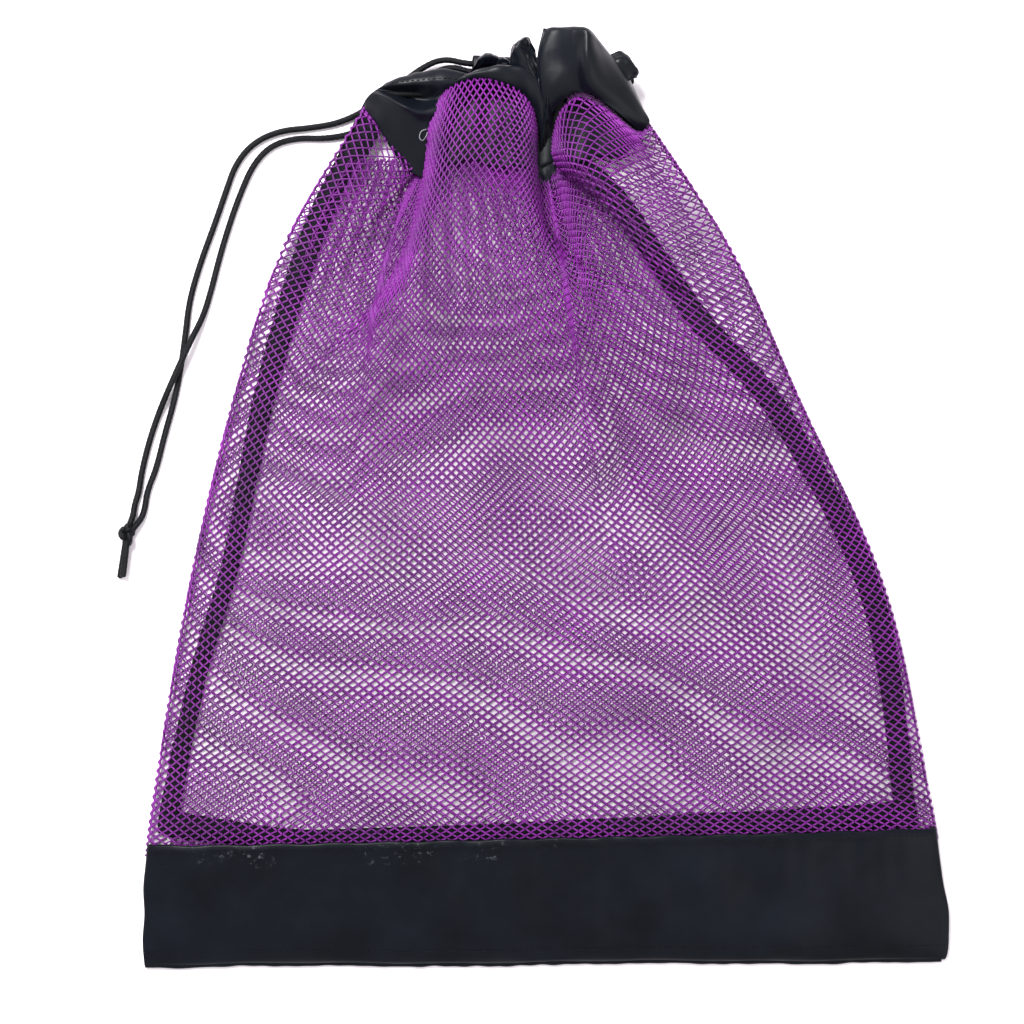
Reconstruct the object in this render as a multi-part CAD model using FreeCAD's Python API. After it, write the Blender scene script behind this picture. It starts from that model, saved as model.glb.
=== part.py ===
"""Drawstring mesh ball bag, lying on its back with its mouth drawn closed.

Millimetres. +X is to the right, +Y runs from the base to the mouth, +Z is up off the floor.
The origin is on the floor, under the middle of the bag without its free cord.

Root body: back mesh, base band, seam tapes, back casing and the cord inside it.
Front body: front mesh and front casing, which lift about the base band's top seam.
Drawcord body: the two free strands, their knot and their tails, which slide into the casing.
"""
import FreeCAD, Part
import math
import os

Vector = FreeCAD.Vector

# Driving dimensions
BAG_LENGTH = 530.0
BASE_WIDTH = 457.0
BAND_HEIGHT = 74.0
SEAM_SLOPE = 0.022
NYLON = 0.6
MESH = 1.2
CLEAR = 0.4
CORD_DIAMETER = 3.5
CORD_GAP = 7.0
TAPE_WIDTH = 11.0
TAPE_THICKNESS = 1.0
STITCH_LENGTH = 3.2
STITCH_PITCH = 6.4
STITCH_DIAMETER = 0.7

HALF_WIDTH = BASE_WIDTH / 2
BOTTOM = -BAG_LENGTH / 2
TOP = BAG_LENGTH / 2
SEAM_HEIGHT = 4.0
BAND_TOP = BOTTOM + BAND_HEIGHT
CORD_RADIUS = CORD_DIAMETER / 2

# Silhouette, as (y, x) from the base to the neck
LEFT_EDGE = [(BOTTOM, -HALF_WIDTH), (-225, -227.5), (-175, -222), (-50, -201), (60, -175),
             (145, -147), (224, -102)]
RIGHT_EDGE = [(BOTTOM, HALF_WIDTH), (-225, 226.5), (-175, 218), (-50, 191), (60, 142),
              (145, 105), (224, 58)]

# Line where the front mesh is sewn to the casing, as (x, y)
NECK_LINE = [(-102, 222), (-84, 208), (-67, 196), (-58, 226), (-36, 236), (-14, 226),
             (-2, 192), (8, 210), (20, 228), (40, 222), (58, 208)]

# Crown height of the front, as (y, z)
CROWN = [(BOTTOM, 9.6), (-150, 17.5), (-20, 25), (100, 27), (180, 18), (240, 14)]
EDGE_GAP = 1.0
BACK_NECK_Y = 194.0

# Folds at the neck, as centre x, half width and height above the crown
NECK_FOLDS = [(-88, 18, 7), (-36, 31, 28), (30, 27, 20)]
FOLD_START = 40.0
FOLD_END = 200.0

# Lift of the back towards the neck, as (y, z)
BACK_LIFT = [(BOTTOM, 0.25), (100, 0.25), (150, 1.5), (200, 6.0), (240, 6.4)]

# Centre lines of the seam tapes on the back, as (x, y)
LEFT_TAPE = [(-213, -176), (-197, -100), (-178, -34), (-159, 60), (-134, 145), (-108, 196)]
RIGHT_TAPE = [(204, -176), (186, -57), (134, 47), (85, 105), (42, 168), (18, 190)]

# The run of cord inside each casing, and the sleeve that the two free ends leave by
FRONT_CORD_Y = 224.0
FRONT_CORD_Z = 28.0
RIGHT_CORD_Y = 240.0
RIGHT_CORD_Z = 36.0
BACK_CORD_Y = 236.0
BACK_CORD_Z = 9.9
SLEEVE_MOUTH_X = -41.0
SLEEVE_INNER_X = -1.5
SLEEVE_Y = 242.9
SLEEVE_Z = 9.2
SLEEVE_BORE = (12.4, 6.2)
SLEEVE_WALL = 0.6

# Folded end of the casing strip
TAB_SIZE = (11.0, 13.0, 2.4)
TAB_ROUND = 1.0
TAB_TURN = -35.0
TAB_PLACE = (46.0, 246.0, 20.0)

# Cord inside the back casing, as its first and last x
BACK_RUN_X = (6.0, 50.0)

# Bar of stitches at the sleeve's mouth, and the rounding of the sleeve as a share of its height
BAR_SIZE = (1.4, 7.0, 0.6)
BAR_INSET = 1.5
SLEEVE_ROUND = 0.45
CUT_PAST = 1.0

# Stitch rows, as first x, last x and distance from the seam or from the bottom
TOP_ROW = (-214.0, 210.0, 3.5)
HEM_ROW = (-216.0, 213.0, 9.0)
STITCH_LIFT = 0.1

# Share of the crown's height at the bottom that the turned hem stands up to
HEM_SHARE = 0.5

# Share of a run that an arc may take at each of its ends
ARC_SHARE = 0.45

FLOOR_Z = CORD_RADIUS
HUMP_Z = 6.2
KNOT_CENTRE = (-237.0, -19.5)
KNOT_SIZE = (9.4, 13.5, 8.4)

# Routes of the two free strands, from inside the sleeve to the knot
STRAND_A = [(-22, 244.6, SLEEVE_Z), (-43, 245.3, 9.0), (-58, 249.6, 7.0), (-72, 243.4, 4.0),
            (-85, 233, FLOOR_Z), (-99.5, 222.2, FLOOR_Z), (-116, 213.8, FLOOR_Z),
            (-133, 210.8, FLOOR_Z), (-150, 209.4, FLOOR_Z), (-165, 203, FLOOR_Z),
            (-175.5, 191, FLOOR_Z),
            (-181.5, 174, FLOOR_Z), (-188, 155, FLOOR_Z), (-195.5, 135, FLOOR_Z),
            (-202, 113, FLOOR_Z), (-204.3, 93, FLOOR_Z), (-206.9, 74, FLOOR_Z),
            (-210.4, 56, FLOOR_Z), (-216, 37, FLOOR_Z), (-220.5, 18, FLOOR_Z),
            (-225.8, -1, FLOOR_Z), (-232.6, -14.5, 2.9)]
STRAND_B = [(-22, 239.6, SLEEVE_Z), (-41, 239.9, 9.1), (-53, 245, 7.6), (-66, 240.4, 4.4),
            (-79.5, 228.6, FLOOR_Z), (-93, 216.6, FLOOR_Z), (-108.5, 207.6, FLOOR_Z),
            (-125, 204.6, FLOOR_Z), (-141, 205.2, FLOOR_Z), (-155.5, 201, FLOOR_Z), (-165.5, 190.5, FLOOR_Z),
            (-172.5, 175, FLOOR_Z), (-179, 157, FLOOR_Z), (-185, 137, FLOOR_Z),
            (-189.5, 119, FLOOR_Z), (-194, 104, FLOOR_Z), (-200.6, 90, HUMP_Z),
            (-212, 65, HUMP_Z), (-219, 50, FLOOR_Z), (-224.5, 34, FLOOR_Z),
            (-228.5, 16, FLOOR_Z), (-233, -2, FLOOR_Z), (-238.4, -14.5, 3.2)]
FRONT_RUN = [(-94, 224.0, 28), (-70, 224.5, 28), (-46, 223.8, 28), (-24, 224.4, 28), (-9, 232.6, 32.4),
             (7, 239.4, 36), (23, 240.6, 36.1), (39, 240, 36)]
TAIL_A = [(-236.6, -24.5, 4.9), (-238.4, -34, 4.9), (-239.2, -43.5, 4.9)]
TAIL_B = [(-239.0, -24.5, FLOOR_Z), (-241.2, -34.5, FLOOR_Z), (-241.6, -44.5, FLOOR_Z)]


def ease(t):
    """Rise smoothly from 0 to 1 as t goes from 0 to 1."""
    t = min(1.0, max(0.0, t))
    return t * t * (3 - 2 * t)


def along(points, at):
    """Value at a place between (place, value) points, joined by smooth cubic pieces."""
    at = min(points[-1][0], max(points[0][0], at))
    last = len(points) - 1
    slopes = []
    for i in range(len(points)):
        before = points[max(0, i - 1)]
        after = points[min(last, i + 1)]
        slopes.append((after[1] - before[1]) / (after[0] - before[0]))
    for i in range(last):
        (a, value_a), (b, value_b) = points[i], points[i + 1]
        if at <= b:
            span = b - a
            t = (at - a) / span
            start = value_a * (1 + 2 * t) + slopes[i] * span * t
            end = value_b * (3 - 2 * t) - slopes[i + 1] * span * (1 - t)
            return start * (1 - t) ** 2 + end * t * t
    return points[-1][1]


def bump(x, centre, half_width, height):
    """Height of a round-shouldered fold that runs along Y."""
    t = abs(x - centre) / half_width
    if t >= 1:
        return 0.0
    return height * (1 - t ** 4) ** 0.5


def edges_at(y):
    """Left and right limits of the bag at a height y."""
    return along(LEFT_EDGE, y), along(RIGHT_EDGE, y)


def band_top(x):
    """Place of the seam between the base band and the mesh."""
    return BAND_TOP + SEAM_SLOPE * x


def back_height(y):
    """Height of the back's lower face."""
    return along(BACK_LIFT, y)


def front_height(x, y):
    """Height of the front's outer face: a crown between the edges, plus the folds at the neck."""
    left, right = edges_at(y)
    s = (2 * x - left - right) / (right - left)
    s = min(1.0, max(-1.0, s))
    edge = back_height(y) + 2 * MESH + EDGE_GAP
    arch = edge + (along(CROWN, y) - edge) * (1 - s ** 4) ** 0.5
    gathered = ease((y - FOLD_START) / (FOLD_END - FOLD_START))
    folds = sum(bump(x, *fold) for fold in NECK_FOLDS)
    return arch + gathered * folds


def normal_at(rows, i, j):
    """Unit normal of rows of points, on the side that looks up off the floor."""
    last_row = len(rows) - 1
    last = len(rows[0]) - 1
    across = rows[i][min(last, j + 1)] - rows[i][max(0, j - 1)]
    up = rows[min(last_row, i + 1)][j] - rows[max(0, i - 1)][j]
    return across.cross(up).normalize()


def smooth_edge(points):
    """Edge along one smooth curve through the points."""
    curve = Part.BSplineCurve()
    curve.interpolate(points)
    return curve.toShape()


def sheet(rows, thickness):
    """Closed solid of cloth: smooth rows joined by straight lines, and the same a thickness behind."""
    behind = []
    for i, row in enumerate(rows):
        behind.append([point - normal_at(rows, i, j) * thickness for j, point in enumerate(row)])
    front_edges = [smooth_edge(row) for row in rows]
    back_edges = [smooth_edge(row) for row in behind]
    faces = []
    for side in (front_edges, back_edges):
        for edge, after in zip(side, side[1:]):
            faces.append(Part.makeRuledSurface(edge, after))
    for end in (0, -1):
        faces.append(Part.makeRuledSurface(front_edges[end], back_edges[end]))
        for i in range(len(rows) - 1):
            near = Part.makeLine(rows[i][end], rows[i + 1][end])
            far = Part.makeLine(behind[i][end], behind[i + 1][end])
            faces.append(Part.makeRuledSurface(near, far))
    shell = Part.Compound(faces)
    shell.sewShape()
    solid = Part.Solid(shell.Shells[0])
    if solid.Volume < 0:
        solid.reverse()
    return solid


def steps(start, end, count):
    """Evenly spaced values, both ends included."""
    return [start + (end - start) * i / (count - 1) for i in range(count)]


def front_mesh_panel():
    """Front mesh, from the base band's top seam to the casing's seam."""
    neck_left = NECK_LINE[0][0]
    neck_right = NECK_LINE[-1][0]
    rows = []
    for v in steps(0.0, 1.0, 24):
        row = []
        for s in steps(0.0, 1.0, 61):
            top = along(NECK_LINE, neck_left + s * (neck_right - neck_left))
            bottom = band_top((2 * s - 1) * HALF_WIDTH) + CLEAR
            y = bottom + v * (top - bottom)
            left, right = edges_at(y)
            x = left + s * (right - left)
            row.append(Vector(x, y, front_height(x, y)))
        rows.append(row)
    return sheet(rows, MESH)


def back_mesh_panel():
    """Back mesh, flat on the floor and a little lifted where it is gathered."""
    rows = []
    for v in steps(0.0, 1.0, 19):
        row = []
        for s in steps(0.0, 1.0, 5):
            bottom = band_top((2 * s - 1) * HALF_WIDTH) + CLEAR
            y = bottom + v * (BACK_NECK_Y - bottom)
            left, right = edges_at(y)
            row.append(Vector(left + s * (right - left), y, back_height(y) + MESH))
        rows.append(row)
    return sheet(rows, MESH)


def base_panel_back():
    """Back of the base band, a flat panel that rests on the floor."""
    left, right = edges_at(BAND_TOP)
    bottom = BOTTOM + SEAM_HEIGHT + CLEAR
    corners = [(left, band_top(left)), (-HALF_WIDTH, bottom), (HALF_WIDTH, bottom), (right, band_top(right))]
    outline = [Vector(x, y, 0) for x, y in corners]
    face = Part.Face(Part.makePolygon(outline + outline[:1]))
    return face.extrude(Vector(0, 0, NYLON))


def base_panel_front():
    """Front of the base band, crowned a little over the back."""
    bottom = BOTTOM + SEAM_HEIGHT + CLEAR
    rows = []
    for v in steps(0.0, 1.0, 7):
        row = []
        for s in steps(0.0, 1.0, 25):
            y = bottom + v * (band_top((2 * s - 1) * HALF_WIDTH) - bottom)
            left, right = edges_at(y)
            x = left + s * (right - left)
            row.append(Vector(x, y, front_height(x, y)))
        rows.append(row)
    return sheet(rows, NYLON)


def base_bottom_seam():
    """Doubled and turned edge along the bottom of the base band."""
    height = along(CROWN, BOTTOM) * HEM_SHARE
    return Part.makeBox(BASE_WIDTH, SEAM_HEIGHT, height, Vector(-HALF_WIDTH, BOTTOM, 0))


def tape(points):
    """Flat binding tape laid on the back mesh, inside the bag."""
    rows = []
    for i in range(len(points)):
        (x0, y0), (x1, y1) = points[max(0, i - 1)], points[min(len(points) - 1, i + 1)]
        length = math.hypot(x1 - x0, y1 - y0)
        row = []
        for side in (-0.5, 0.0, 0.5):
            x = points[i][0] + side * TAPE_WIDTH * (y1 - y0) / length
            y = points[i][1] - side * TAPE_WIDTH * (x1 - x0) / length
            row.append(Vector(x, y, back_height(y) + MESH + CLEAR + TAPE_THICKNESS))
        rows.append(row)
    return sheet(rows, TAPE_THICKNESS)


def base_inner_tape():
    """Binding over the seam between the back mesh and the base band, inside the bag."""
    start = LEFT_TAPE[0][0] + TAPE_WIDTH
    length = RIGHT_TAPE[0][0] - TAPE_WIDTH - start
    strip = Part.makeBox(length, TAPE_WIDTH, TAPE_THICKNESS, Vector(start, 0, 0))
    strip.rotate(Vector(0, 0, 0), Vector(0, 0, 1), math.degrees(math.atan(SEAM_SLOPE)))
    strip.translate(Vector(0, BAND_TOP + CLEAR, back_height(BAND_TOP) + MESH + CLEAR))
    return strip


def folded_casing(stations, cord_y, cord_z, tilt):
    """Strip of nylon folded over at the hem into a tunnel for the cord.

    Each station is (x, seam y, hem y). The fold's middle passes through the cord line and tilts.
    """
    rows = []
    half = CORD_GAP / 2 + NYLON
    for x, seam, hem in stations:
        bend = hem - half
        flat = steps(seam, bend, 6)
        profile = [(y, -half) for y in flat]
        for degrees in (-60, -30, 0, 30, 60):
            angle = math.radians(degrees)
            profile.append((bend + half * math.cos(angle), half * math.sin(angle)))
        profile += [(y, half) for y in reversed(flat)]
        rows.append([Vector(x, y, cord_z + z + tilt * (y - cord_y)) for y, z in profile])
    return sheet(rows, NYLON)


def casing_back():
    """Back half of the casing, under the front folds."""
    stations = [(-94, 200, 226), (-74, 201, 232), (-50, 198, 234), (-20, 197, 235), (0, 197, 235.6),
                (10, 198, 246), (22, 199, 250), (36, 201, 249), (54, 200, 241)]
    return folded_casing(stations, BACK_CORD_Y, BACK_CORD_Z, 0.0)


def casing_front_left():
    """Left petal of the front casing."""
    stations = [(-101, 223.5, 232), (-92, 220, 236), (-80, 214, 240), (-71, 205.5, 242), (-65, 212, 243)]
    return folded_casing(stations, FRONT_CORD_Y, FRONT_CORD_Z, -0.1)


def casing_front_middle():
    """Lip of the front casing behind the middle fold."""
    stations = [(-54, 206, 244), (-44, 207, 248), (-32, 207, 249), (-20, 206, 247)]
    return folded_casing(stations, FRONT_CORD_Y, FRONT_CORD_Z, 0.0)


def casing_front_right():
    """Large right petal of the front casing, standing furthest out."""
    stations = [(4, 216, 263), (12, 225, TOP), (20, 230.5, TOP), (27, 230, TOP), (40, 226.5, 250),
                (52, 219, 234)]
    return folded_casing(stations, RIGHT_CORD_Y, RIGHT_CORD_Z, 0.1)


def cord_exit_sleeve():
    """Short sleeve of casing cloth that the two free ends of the cord leave by."""
    bore_y, bore_z = SLEEVE_BORE
    length = SLEEVE_INNER_X - SLEEVE_MOUTH_X
    wide = bore_y + 2 * SLEEVE_WALL
    high = bore_z + 2 * SLEEVE_WALL
    corner = Vector(SLEEVE_MOUTH_X, SLEEVE_Y - wide / 2, SLEEVE_Z - high / 2)
    outside = Part.makeBox(length, wide, high, corner)
    outside = outside.makeFillet(high * SLEEVE_ROUND, [e for e in outside.Edges if e.Length == length])
    corner = Vector(SLEEVE_MOUTH_X - CUT_PAST, SLEEVE_Y - bore_y / 2, SLEEVE_Z - bore_z / 2)
    cut_length = length + 2 * CUT_PAST
    bore = Part.makeBox(cut_length, bore_y, bore_z, corner)
    bore = bore.makeFillet(bore_z * SLEEVE_ROUND, [e for e in bore.Edges if e.Length == cut_length])
    return outside.cut(bore)


def stitch_row(start_x, end_x, line):
    """Row of short thread stitches on the front, along y = line(x)."""
    stitches = []
    lift = STITCH_DIAMETER / 2 + STITCH_LIFT
    for x in steps(start_x, end_x, int((end_x - start_x) / STITCH_PITCH)):
        y = line(x)
        start = Vector(x, y, front_height(x, y) + lift)
        after = x + STITCH_LENGTH
        end = Vector(after, line(after), front_height(after, line(after)) + lift)
        thread = Part.makeCylinder(STITCH_DIAMETER / 2, (end - start).Length, start, end - start)
        stitches.append(thread)
    return Part.Compound(stitches)


def arc_at(before, corner, after):
    """Tangent arc round a corner of a route, as large as its two runs allow."""
    back = before - corner
    forward = after - corner
    turn = math.pi - back.getAngle(forward)
    reach = ARC_SHARE * min(back.Length, forward.Length)
    radius = reach / math.tan(turn / 2)
    back.normalize()
    forward.normalize()
    inward = (back + forward).normalize()
    centre = corner + inward * math.hypot(reach, radius)
    middle = centre - inward * radius
    return corner + back * reach, middle, corner + forward * reach, radius


def cord_tube(name, route):
    """Plain tube along a route: straight runs joined by tangent arcs."""
    corners = [Vector(*point) for point in route]
    edges = []
    radii = []
    place = corners[0]
    for before, corner, after in zip(corners, corners[1:], corners[2:]):
        start, middle, end, radius = arc_at(before, corner, after)
        edges.append(Part.LineSegment(place, start).toShape())
        edges.append(Part.Arc(start, middle, end).toShape())
        radii.append(round(radius, 1))
        place = end
    edges.append(Part.LineSegment(place, corners[-1]).toShape())
    path = Part.Wire(edges)
    ring = Part.Wire(Part.makeCircle(CORD_RADIUS, corners[0], corners[1] - corners[0]))
    tube = path.makePipeShell([ring], True, False)
    expected = path.Length * math.pi * CORD_RADIUS ** 2
    print(name, "length", round(path.Length, 1), "volume ratio", round(tube.Volume / expected, 4),
          "smallest radius", min(radii), "radii", radii)
    return tube


def drawcord_back_run():
    """Cord inside the back half of the casing."""
    start, end = BACK_RUN_X
    place = Vector(start, BACK_CORD_Y, BACK_CORD_Z)
    return Part.makeCylinder(CORD_RADIUS, end - start, place, Vector(1, 0, 0))


def drawcord_knot():
    """Overhand knot that ties the two strands together."""
    knot = Part.makeSphere(1.0)
    stretch = FreeCAD.Matrix()
    stretch.scale(Vector(KNOT_SIZE[0] / 2, KNOT_SIZE[1] / 2, KNOT_SIZE[2] / 2))
    knot = knot.transformGeometry(stretch)
    knot.translate(Vector(KNOT_CENTRE[0], KNOT_CENTRE[1], KNOT_SIZE[2] / 2))
    return knot


def exit_bartack():
    """Dense bar of stitching across the sleeve's mouth."""
    long, wide, high = BAR_SIZE
    top = SLEEVE_Z + SLEEVE_BORE[1] / 2 + SLEEVE_WALL
    corner = Vector(SLEEVE_MOUTH_X + BAR_INSET, SLEEVE_Y - wide / 2, top)
    return Part.makeBox(long, wide, high, corner)


def casing_end_tab():
    """Folded end of the casing strip, standing off the right petal."""
    long, wide, high = TAB_SIZE
    tab = Part.makeBox(long, wide, high, Vector(-long / 2, -wide / 2, 0))
    tab = tab.makeFillet(TAB_ROUND, tab.Edges)
    tab.rotate(Vector(0, 0, 0), Vector(0, 0, 1), TAB_TURN)
    tab.translate(Vector(*TAB_PLACE))
    return tab


def build():
    """Every node of the bag, by name."""
    top_line = stitch_row(TOP_ROW[0], TOP_ROW[1], lambda x: band_top(x) - TOP_ROW[2])
    hem_line = stitch_row(HEM_ROW[0], HEM_ROW[1], lambda x: BOTTOM + HEM_ROW[2])
    return {
        "back_mesh_panel": back_mesh_panel(),
        "base_panel_back": base_panel_back(),
        "base_panel_front": base_panel_front(),
        "base_bottom_seam": base_bottom_seam(),
        "base_inner_tape": base_inner_tape(),
        "base_top_stitching": top_line,
        "base_hem_stitching": hem_line,
        "left_seam_tape": tape(LEFT_TAPE),
        "right_seam_tape": tape(RIGHT_TAPE),
        "casing_back": casing_back(),
        "cord_exit_sleeve": cord_exit_sleeve(),
        "exit_bartack": exit_bartack(),
        "drawcord_back_run": drawcord_back_run(),
        "front_mesh_panel": front_mesh_panel(),
        "casing_front_left": casing_front_left(),
        "casing_front_middle": casing_front_middle(),
        "casing_front_right": casing_front_right(),
        "casing_end_tab": casing_end_tab(),
        "drawcord_front_run": cord_tube("drawcord_front_run", FRONT_RUN),
        "drawcord_strand_a": cord_tube("drawcord_strand_a", STRAND_A),
        "drawcord_strand_b": cord_tube("drawcord_strand_b", STRAND_B),
        "drawcord_tail_a": cord_tube("drawcord_tail_a", TAIL_A),
        "drawcord_tail_b": cord_tube("drawcord_tail_b", TAIL_B),
        "drawcord_knot": drawcord_knot(),
    }


os.makedirs("parts", exist_ok=True)
for name, shape in build().items():
    if not shape.isValid() or shape.Volume <= 0:
        print("bad solid", name, shape.isValid(), shape.Volume)
    shape.exportStep("parts/" + name + ".step")
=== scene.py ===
"""Drawstring mesh ball bag, lying on its back with its mouth drawn closed.

Metres in the finished meshes; the shapes are worked out in millimetres and scaled by MM.
+X is to the right, +Y runs from the base to the mouth, +Z is up off the floor.
"""
import bpy
import numpy as np
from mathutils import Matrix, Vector


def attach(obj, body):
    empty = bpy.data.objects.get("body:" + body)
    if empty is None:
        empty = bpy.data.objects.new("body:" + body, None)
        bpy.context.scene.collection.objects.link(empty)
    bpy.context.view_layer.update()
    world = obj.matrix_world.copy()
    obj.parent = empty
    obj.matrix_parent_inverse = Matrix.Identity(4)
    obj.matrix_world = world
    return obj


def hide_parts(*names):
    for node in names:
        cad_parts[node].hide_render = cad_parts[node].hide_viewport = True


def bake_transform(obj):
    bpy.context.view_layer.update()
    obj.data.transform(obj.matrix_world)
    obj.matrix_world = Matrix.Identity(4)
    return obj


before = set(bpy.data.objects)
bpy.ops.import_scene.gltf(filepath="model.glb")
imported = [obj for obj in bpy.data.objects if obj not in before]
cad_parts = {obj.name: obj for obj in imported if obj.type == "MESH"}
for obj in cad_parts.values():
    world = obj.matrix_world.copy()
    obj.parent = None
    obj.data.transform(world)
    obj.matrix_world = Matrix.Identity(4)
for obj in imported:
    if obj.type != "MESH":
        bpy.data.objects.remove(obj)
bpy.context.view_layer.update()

MM = 0.001
scene = bpy.context.scene

# Camera: straight above the bag
VIEW_CENTRE = (-0.0189, -0.00705)
VIEW_WIDTH = 0.5775
VIEW_PLANE = 0.010
LENS = 85.0
SENSOR = 36.0
VIEW_DISTANCE = VIEW_WIDTH * LENS / SENSOR

camera = bpy.data.objects.new("camera", bpy.data.cameras.new("camera"))
camera.data.lens = LENS
camera.data.sensor_width = SENSOR
camera.data.clip_end = 50.0
camera.location = (VIEW_CENTRE[0], VIEW_CENTRE[1], VIEW_PLANE + VIEW_DISTANCE)
scene.collection.objects.link(camera)
scene.camera = camera

# Sizes in millimetres
CORD_DIAMETER = 3.5
BRAID_TURN = 11.0
YARN_HALF_WIDTH = 0.46
YARN_HALF_HEIGHT = 0.79
NYLON = 0.45
TAPE = 1.0
BOTTOM = -264.0
SEAM_MIDDLE = -191.0
SEAM_SLOPE = 0.022
NECK_LEVEL = 224.0
NECK_LEFT = -103
NECK_WIDTH = 161
BACK_NET_TOP = 194
NET_LEFT_END = -225
NET_WIDTH = 450
BACK_NET_LEFT_END = -213
BACK_NET_WIDTH = 417
BAND_LEFT_END = -227
BAND_WIDTH = 452
EDGE_ROUND = 3.0
FLOOR_GAP = 0.95
UNDER_BAND = 5.0
STITCH_RADIUS = 0.26
TAB_THICKNESS = 1.4
PETAL_HEM_ROW = 78

# Counts of strands across each net and of cells up it
FRONT_STRANDS = 146
FRONT_CELLS = 90
BACK_STRANDS = 120
BACK_CELLS = 80

# Rows of points round each rolled edge and along the run under it, and rings and sides of the bottom
# seam
WRAP_BEND = 10
WRAP_RUN = 40
HEM_RINGS = 420
HEM_SIDES = 14

# How far the net is drawn close by the band's seam, over what share of its height
SEAM_DRAW = 0.50
SEAM_REACH = 0.030
# Share of the height at which the net slows to turn down at the neck, what is left above it, and how
# much it slows
NECK_TURN = 0.965
NECK_TURN_SHARE = 0.035
NECK_SLOWED = 0.75

# Side edges of the bag and of its seam tapes, as (y, x), and how high the net lies under the bag, as
# (y, z)
LEFT_EDGE = [(-265, -228.5), (-225, -227.5), (-175, -222), (-50, -201), (60, -175), (145, -147),
             (224, -102)]
RIGHT_EDGE = [(-265, 228.5), (-225, 226.5), (-175, 218), (-50, 191), (60, 142), (145, 105), (224, 58)]
LEFT_TAPE = [(-176, -213), (-100, -197), (-34, -178), (60, -159), (145, -134), (196, -108), (222, -94)]
RIGHT_TAPE = [(-176, 204), (-57, 186), (47, 134), (105, 85), (168, 42), (190, 18)]
BACK_LIFT = [(-265, 0.25), (100, 0.25), (150, 1.5), (200, 6.0), (240, 6.4)]
# Line of the neck, as (x, y), and the crown of the front without its folds, as (y, z)
NECK = [(-103, 222), (-96, 216), (-89, 207), (-79, 195), (-72, 188), (-68, 190), (-65, 216), (-58, 231),
        (-50, 238), (-34, 242), (-21, 238.5), (-12, 233), (-5, 222), (-2, 190), (2, 188), (4, 207),
        (8, 221),
        (17, 230), (26, 227.5), (34, 222), (43, 214), (51, 208), (58, 212)]
CROWN = [(-265, 9.6), (-191, 15), (-120, 20), (-60, 23), (0, 23.5), (50, 21.5), (100, 16.5), (150, 11.5),
         (200, 10), (240, 10)]

# Side strips, in metres, at the front's two sides; only whether a piece is given one is read, which leaves
# it without a body
LEFT_BEND = ((-0.165, 0.008, 0.0), (-0.1074, -0.0087, 0.0))
RIGHT_BEND = ((0.164, 0.008, 0.0), (0.1082, -0.0140, 0.0))


# --- Shape helpers ---

def ease(t):
    """Rise smoothly from 0 to 1: three t squared less two t cubed, with t held between 0 and 1."""
    t = np.clip(t, 0.0, 1.0)
    return t * t * (3 - 2 * t)


def along(points, at):
    """Smooth curve through (place, value) points: cubic pieces whose end slopes are the chords of the
    neighbours."""
    place, value = np.array(points, float).T
    before = np.maximum(np.arange(len(place)) - 1, 0)
    after = np.minimum(np.arange(len(place)) + 1, len(place) - 1)
    slope = (value[after] - value[before]) / (place[after] - place[before])
    at = np.clip(at, place[0], place[-1])
    i = np.clip(np.searchsorted(place, at, side="right") - 1, 0, len(place) - 2)
    span = place[i + 1] - place[i]
    t = (at - place[i]) / span
    start = value[i] * (1 + 2 * t) + slope[i] * span * t
    end = value[i + 1] * (3 - 2 * t) - slope[i + 1] * span * (1 - t)
    return start * (1 - t) ** 2 + end * t * t


def refine(points, count, closed=False):
    """Catmull-Rom curve through the first axis of an array of points, sampled evenly in its parameter."""
    points = np.asarray(points, float)
    if closed:
        padded = np.concatenate([points[-1:], points, points[:2]])
        last = len(points)
    else:
        padded = np.concatenate([2 * points[:1] - points[1:2], points, 2 * points[-1:] - points[-2:-1]])
        last = len(points) - 1
    t = np.linspace(0, last, count)
    i = np.minimum(t.astype(int), last - 1)
    t = (t - i).reshape((-1,) + (1,) * (points.ndim - 1))
    a, b, c, d = padded[i], padded[i + 1], padded[i + 2], padded[i + 3]
    twice = 2 * b + (c - a) * t + (2 * a - 5 * b + 4 * c - d) * t ** 2 + (3 * b - a - 3 * c + d) * t ** 3
    return 0.5 * twice


def unit(vectors):
    """Vectors divided by their own length."""
    return vectors / np.maximum(np.linalg.norm(vectors, axis=-1, keepdims=True), 1e-9)


def normals(grid):
    """Unit normals of a grid of points: the step along its second axis crossed with the step along its
    first."""
    return unit(np.cross(np.gradient(grid, axis=1), np.gradient(grid, axis=0)))


def upward(directions):
    """The same directions, each turned round where it points down."""
    return directions * np.sign(directions[:, 2:3])


def squared_off(wave, power):
    """A wave with its sign kept and its size raised to a power, which squares its shoulders."""
    return np.sign(wave) * np.abs(wave) ** power


def distances(line):
    """Distance along a line of points to each of them."""
    return np.concatenate([[0], np.cumsum(np.linalg.norm(np.diff(line, axis=0), axis=1))])


def ripple(x, y, seed, size, stretch=1.0, count=14):
    """Soft uneven waves between about -1 and 1: a sum of sines in seeded directions, each near one
    wavelength."""
    draw = np.random.default_rng(seed)
    angle = draw.uniform(0, 2 * np.pi, count)
    number = 2 * np.pi / (size * draw.uniform(0.7, 1.5, count))
    phase = draw.uniform(0, 2 * np.pi, count)
    total = 0.0
    for a, k, p in zip(angle, number, phase):
        total = total + np.sin(k * (np.cos(a) * x + np.sin(a) * y / stretch) + p)
    return total / np.sqrt(count)


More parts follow.
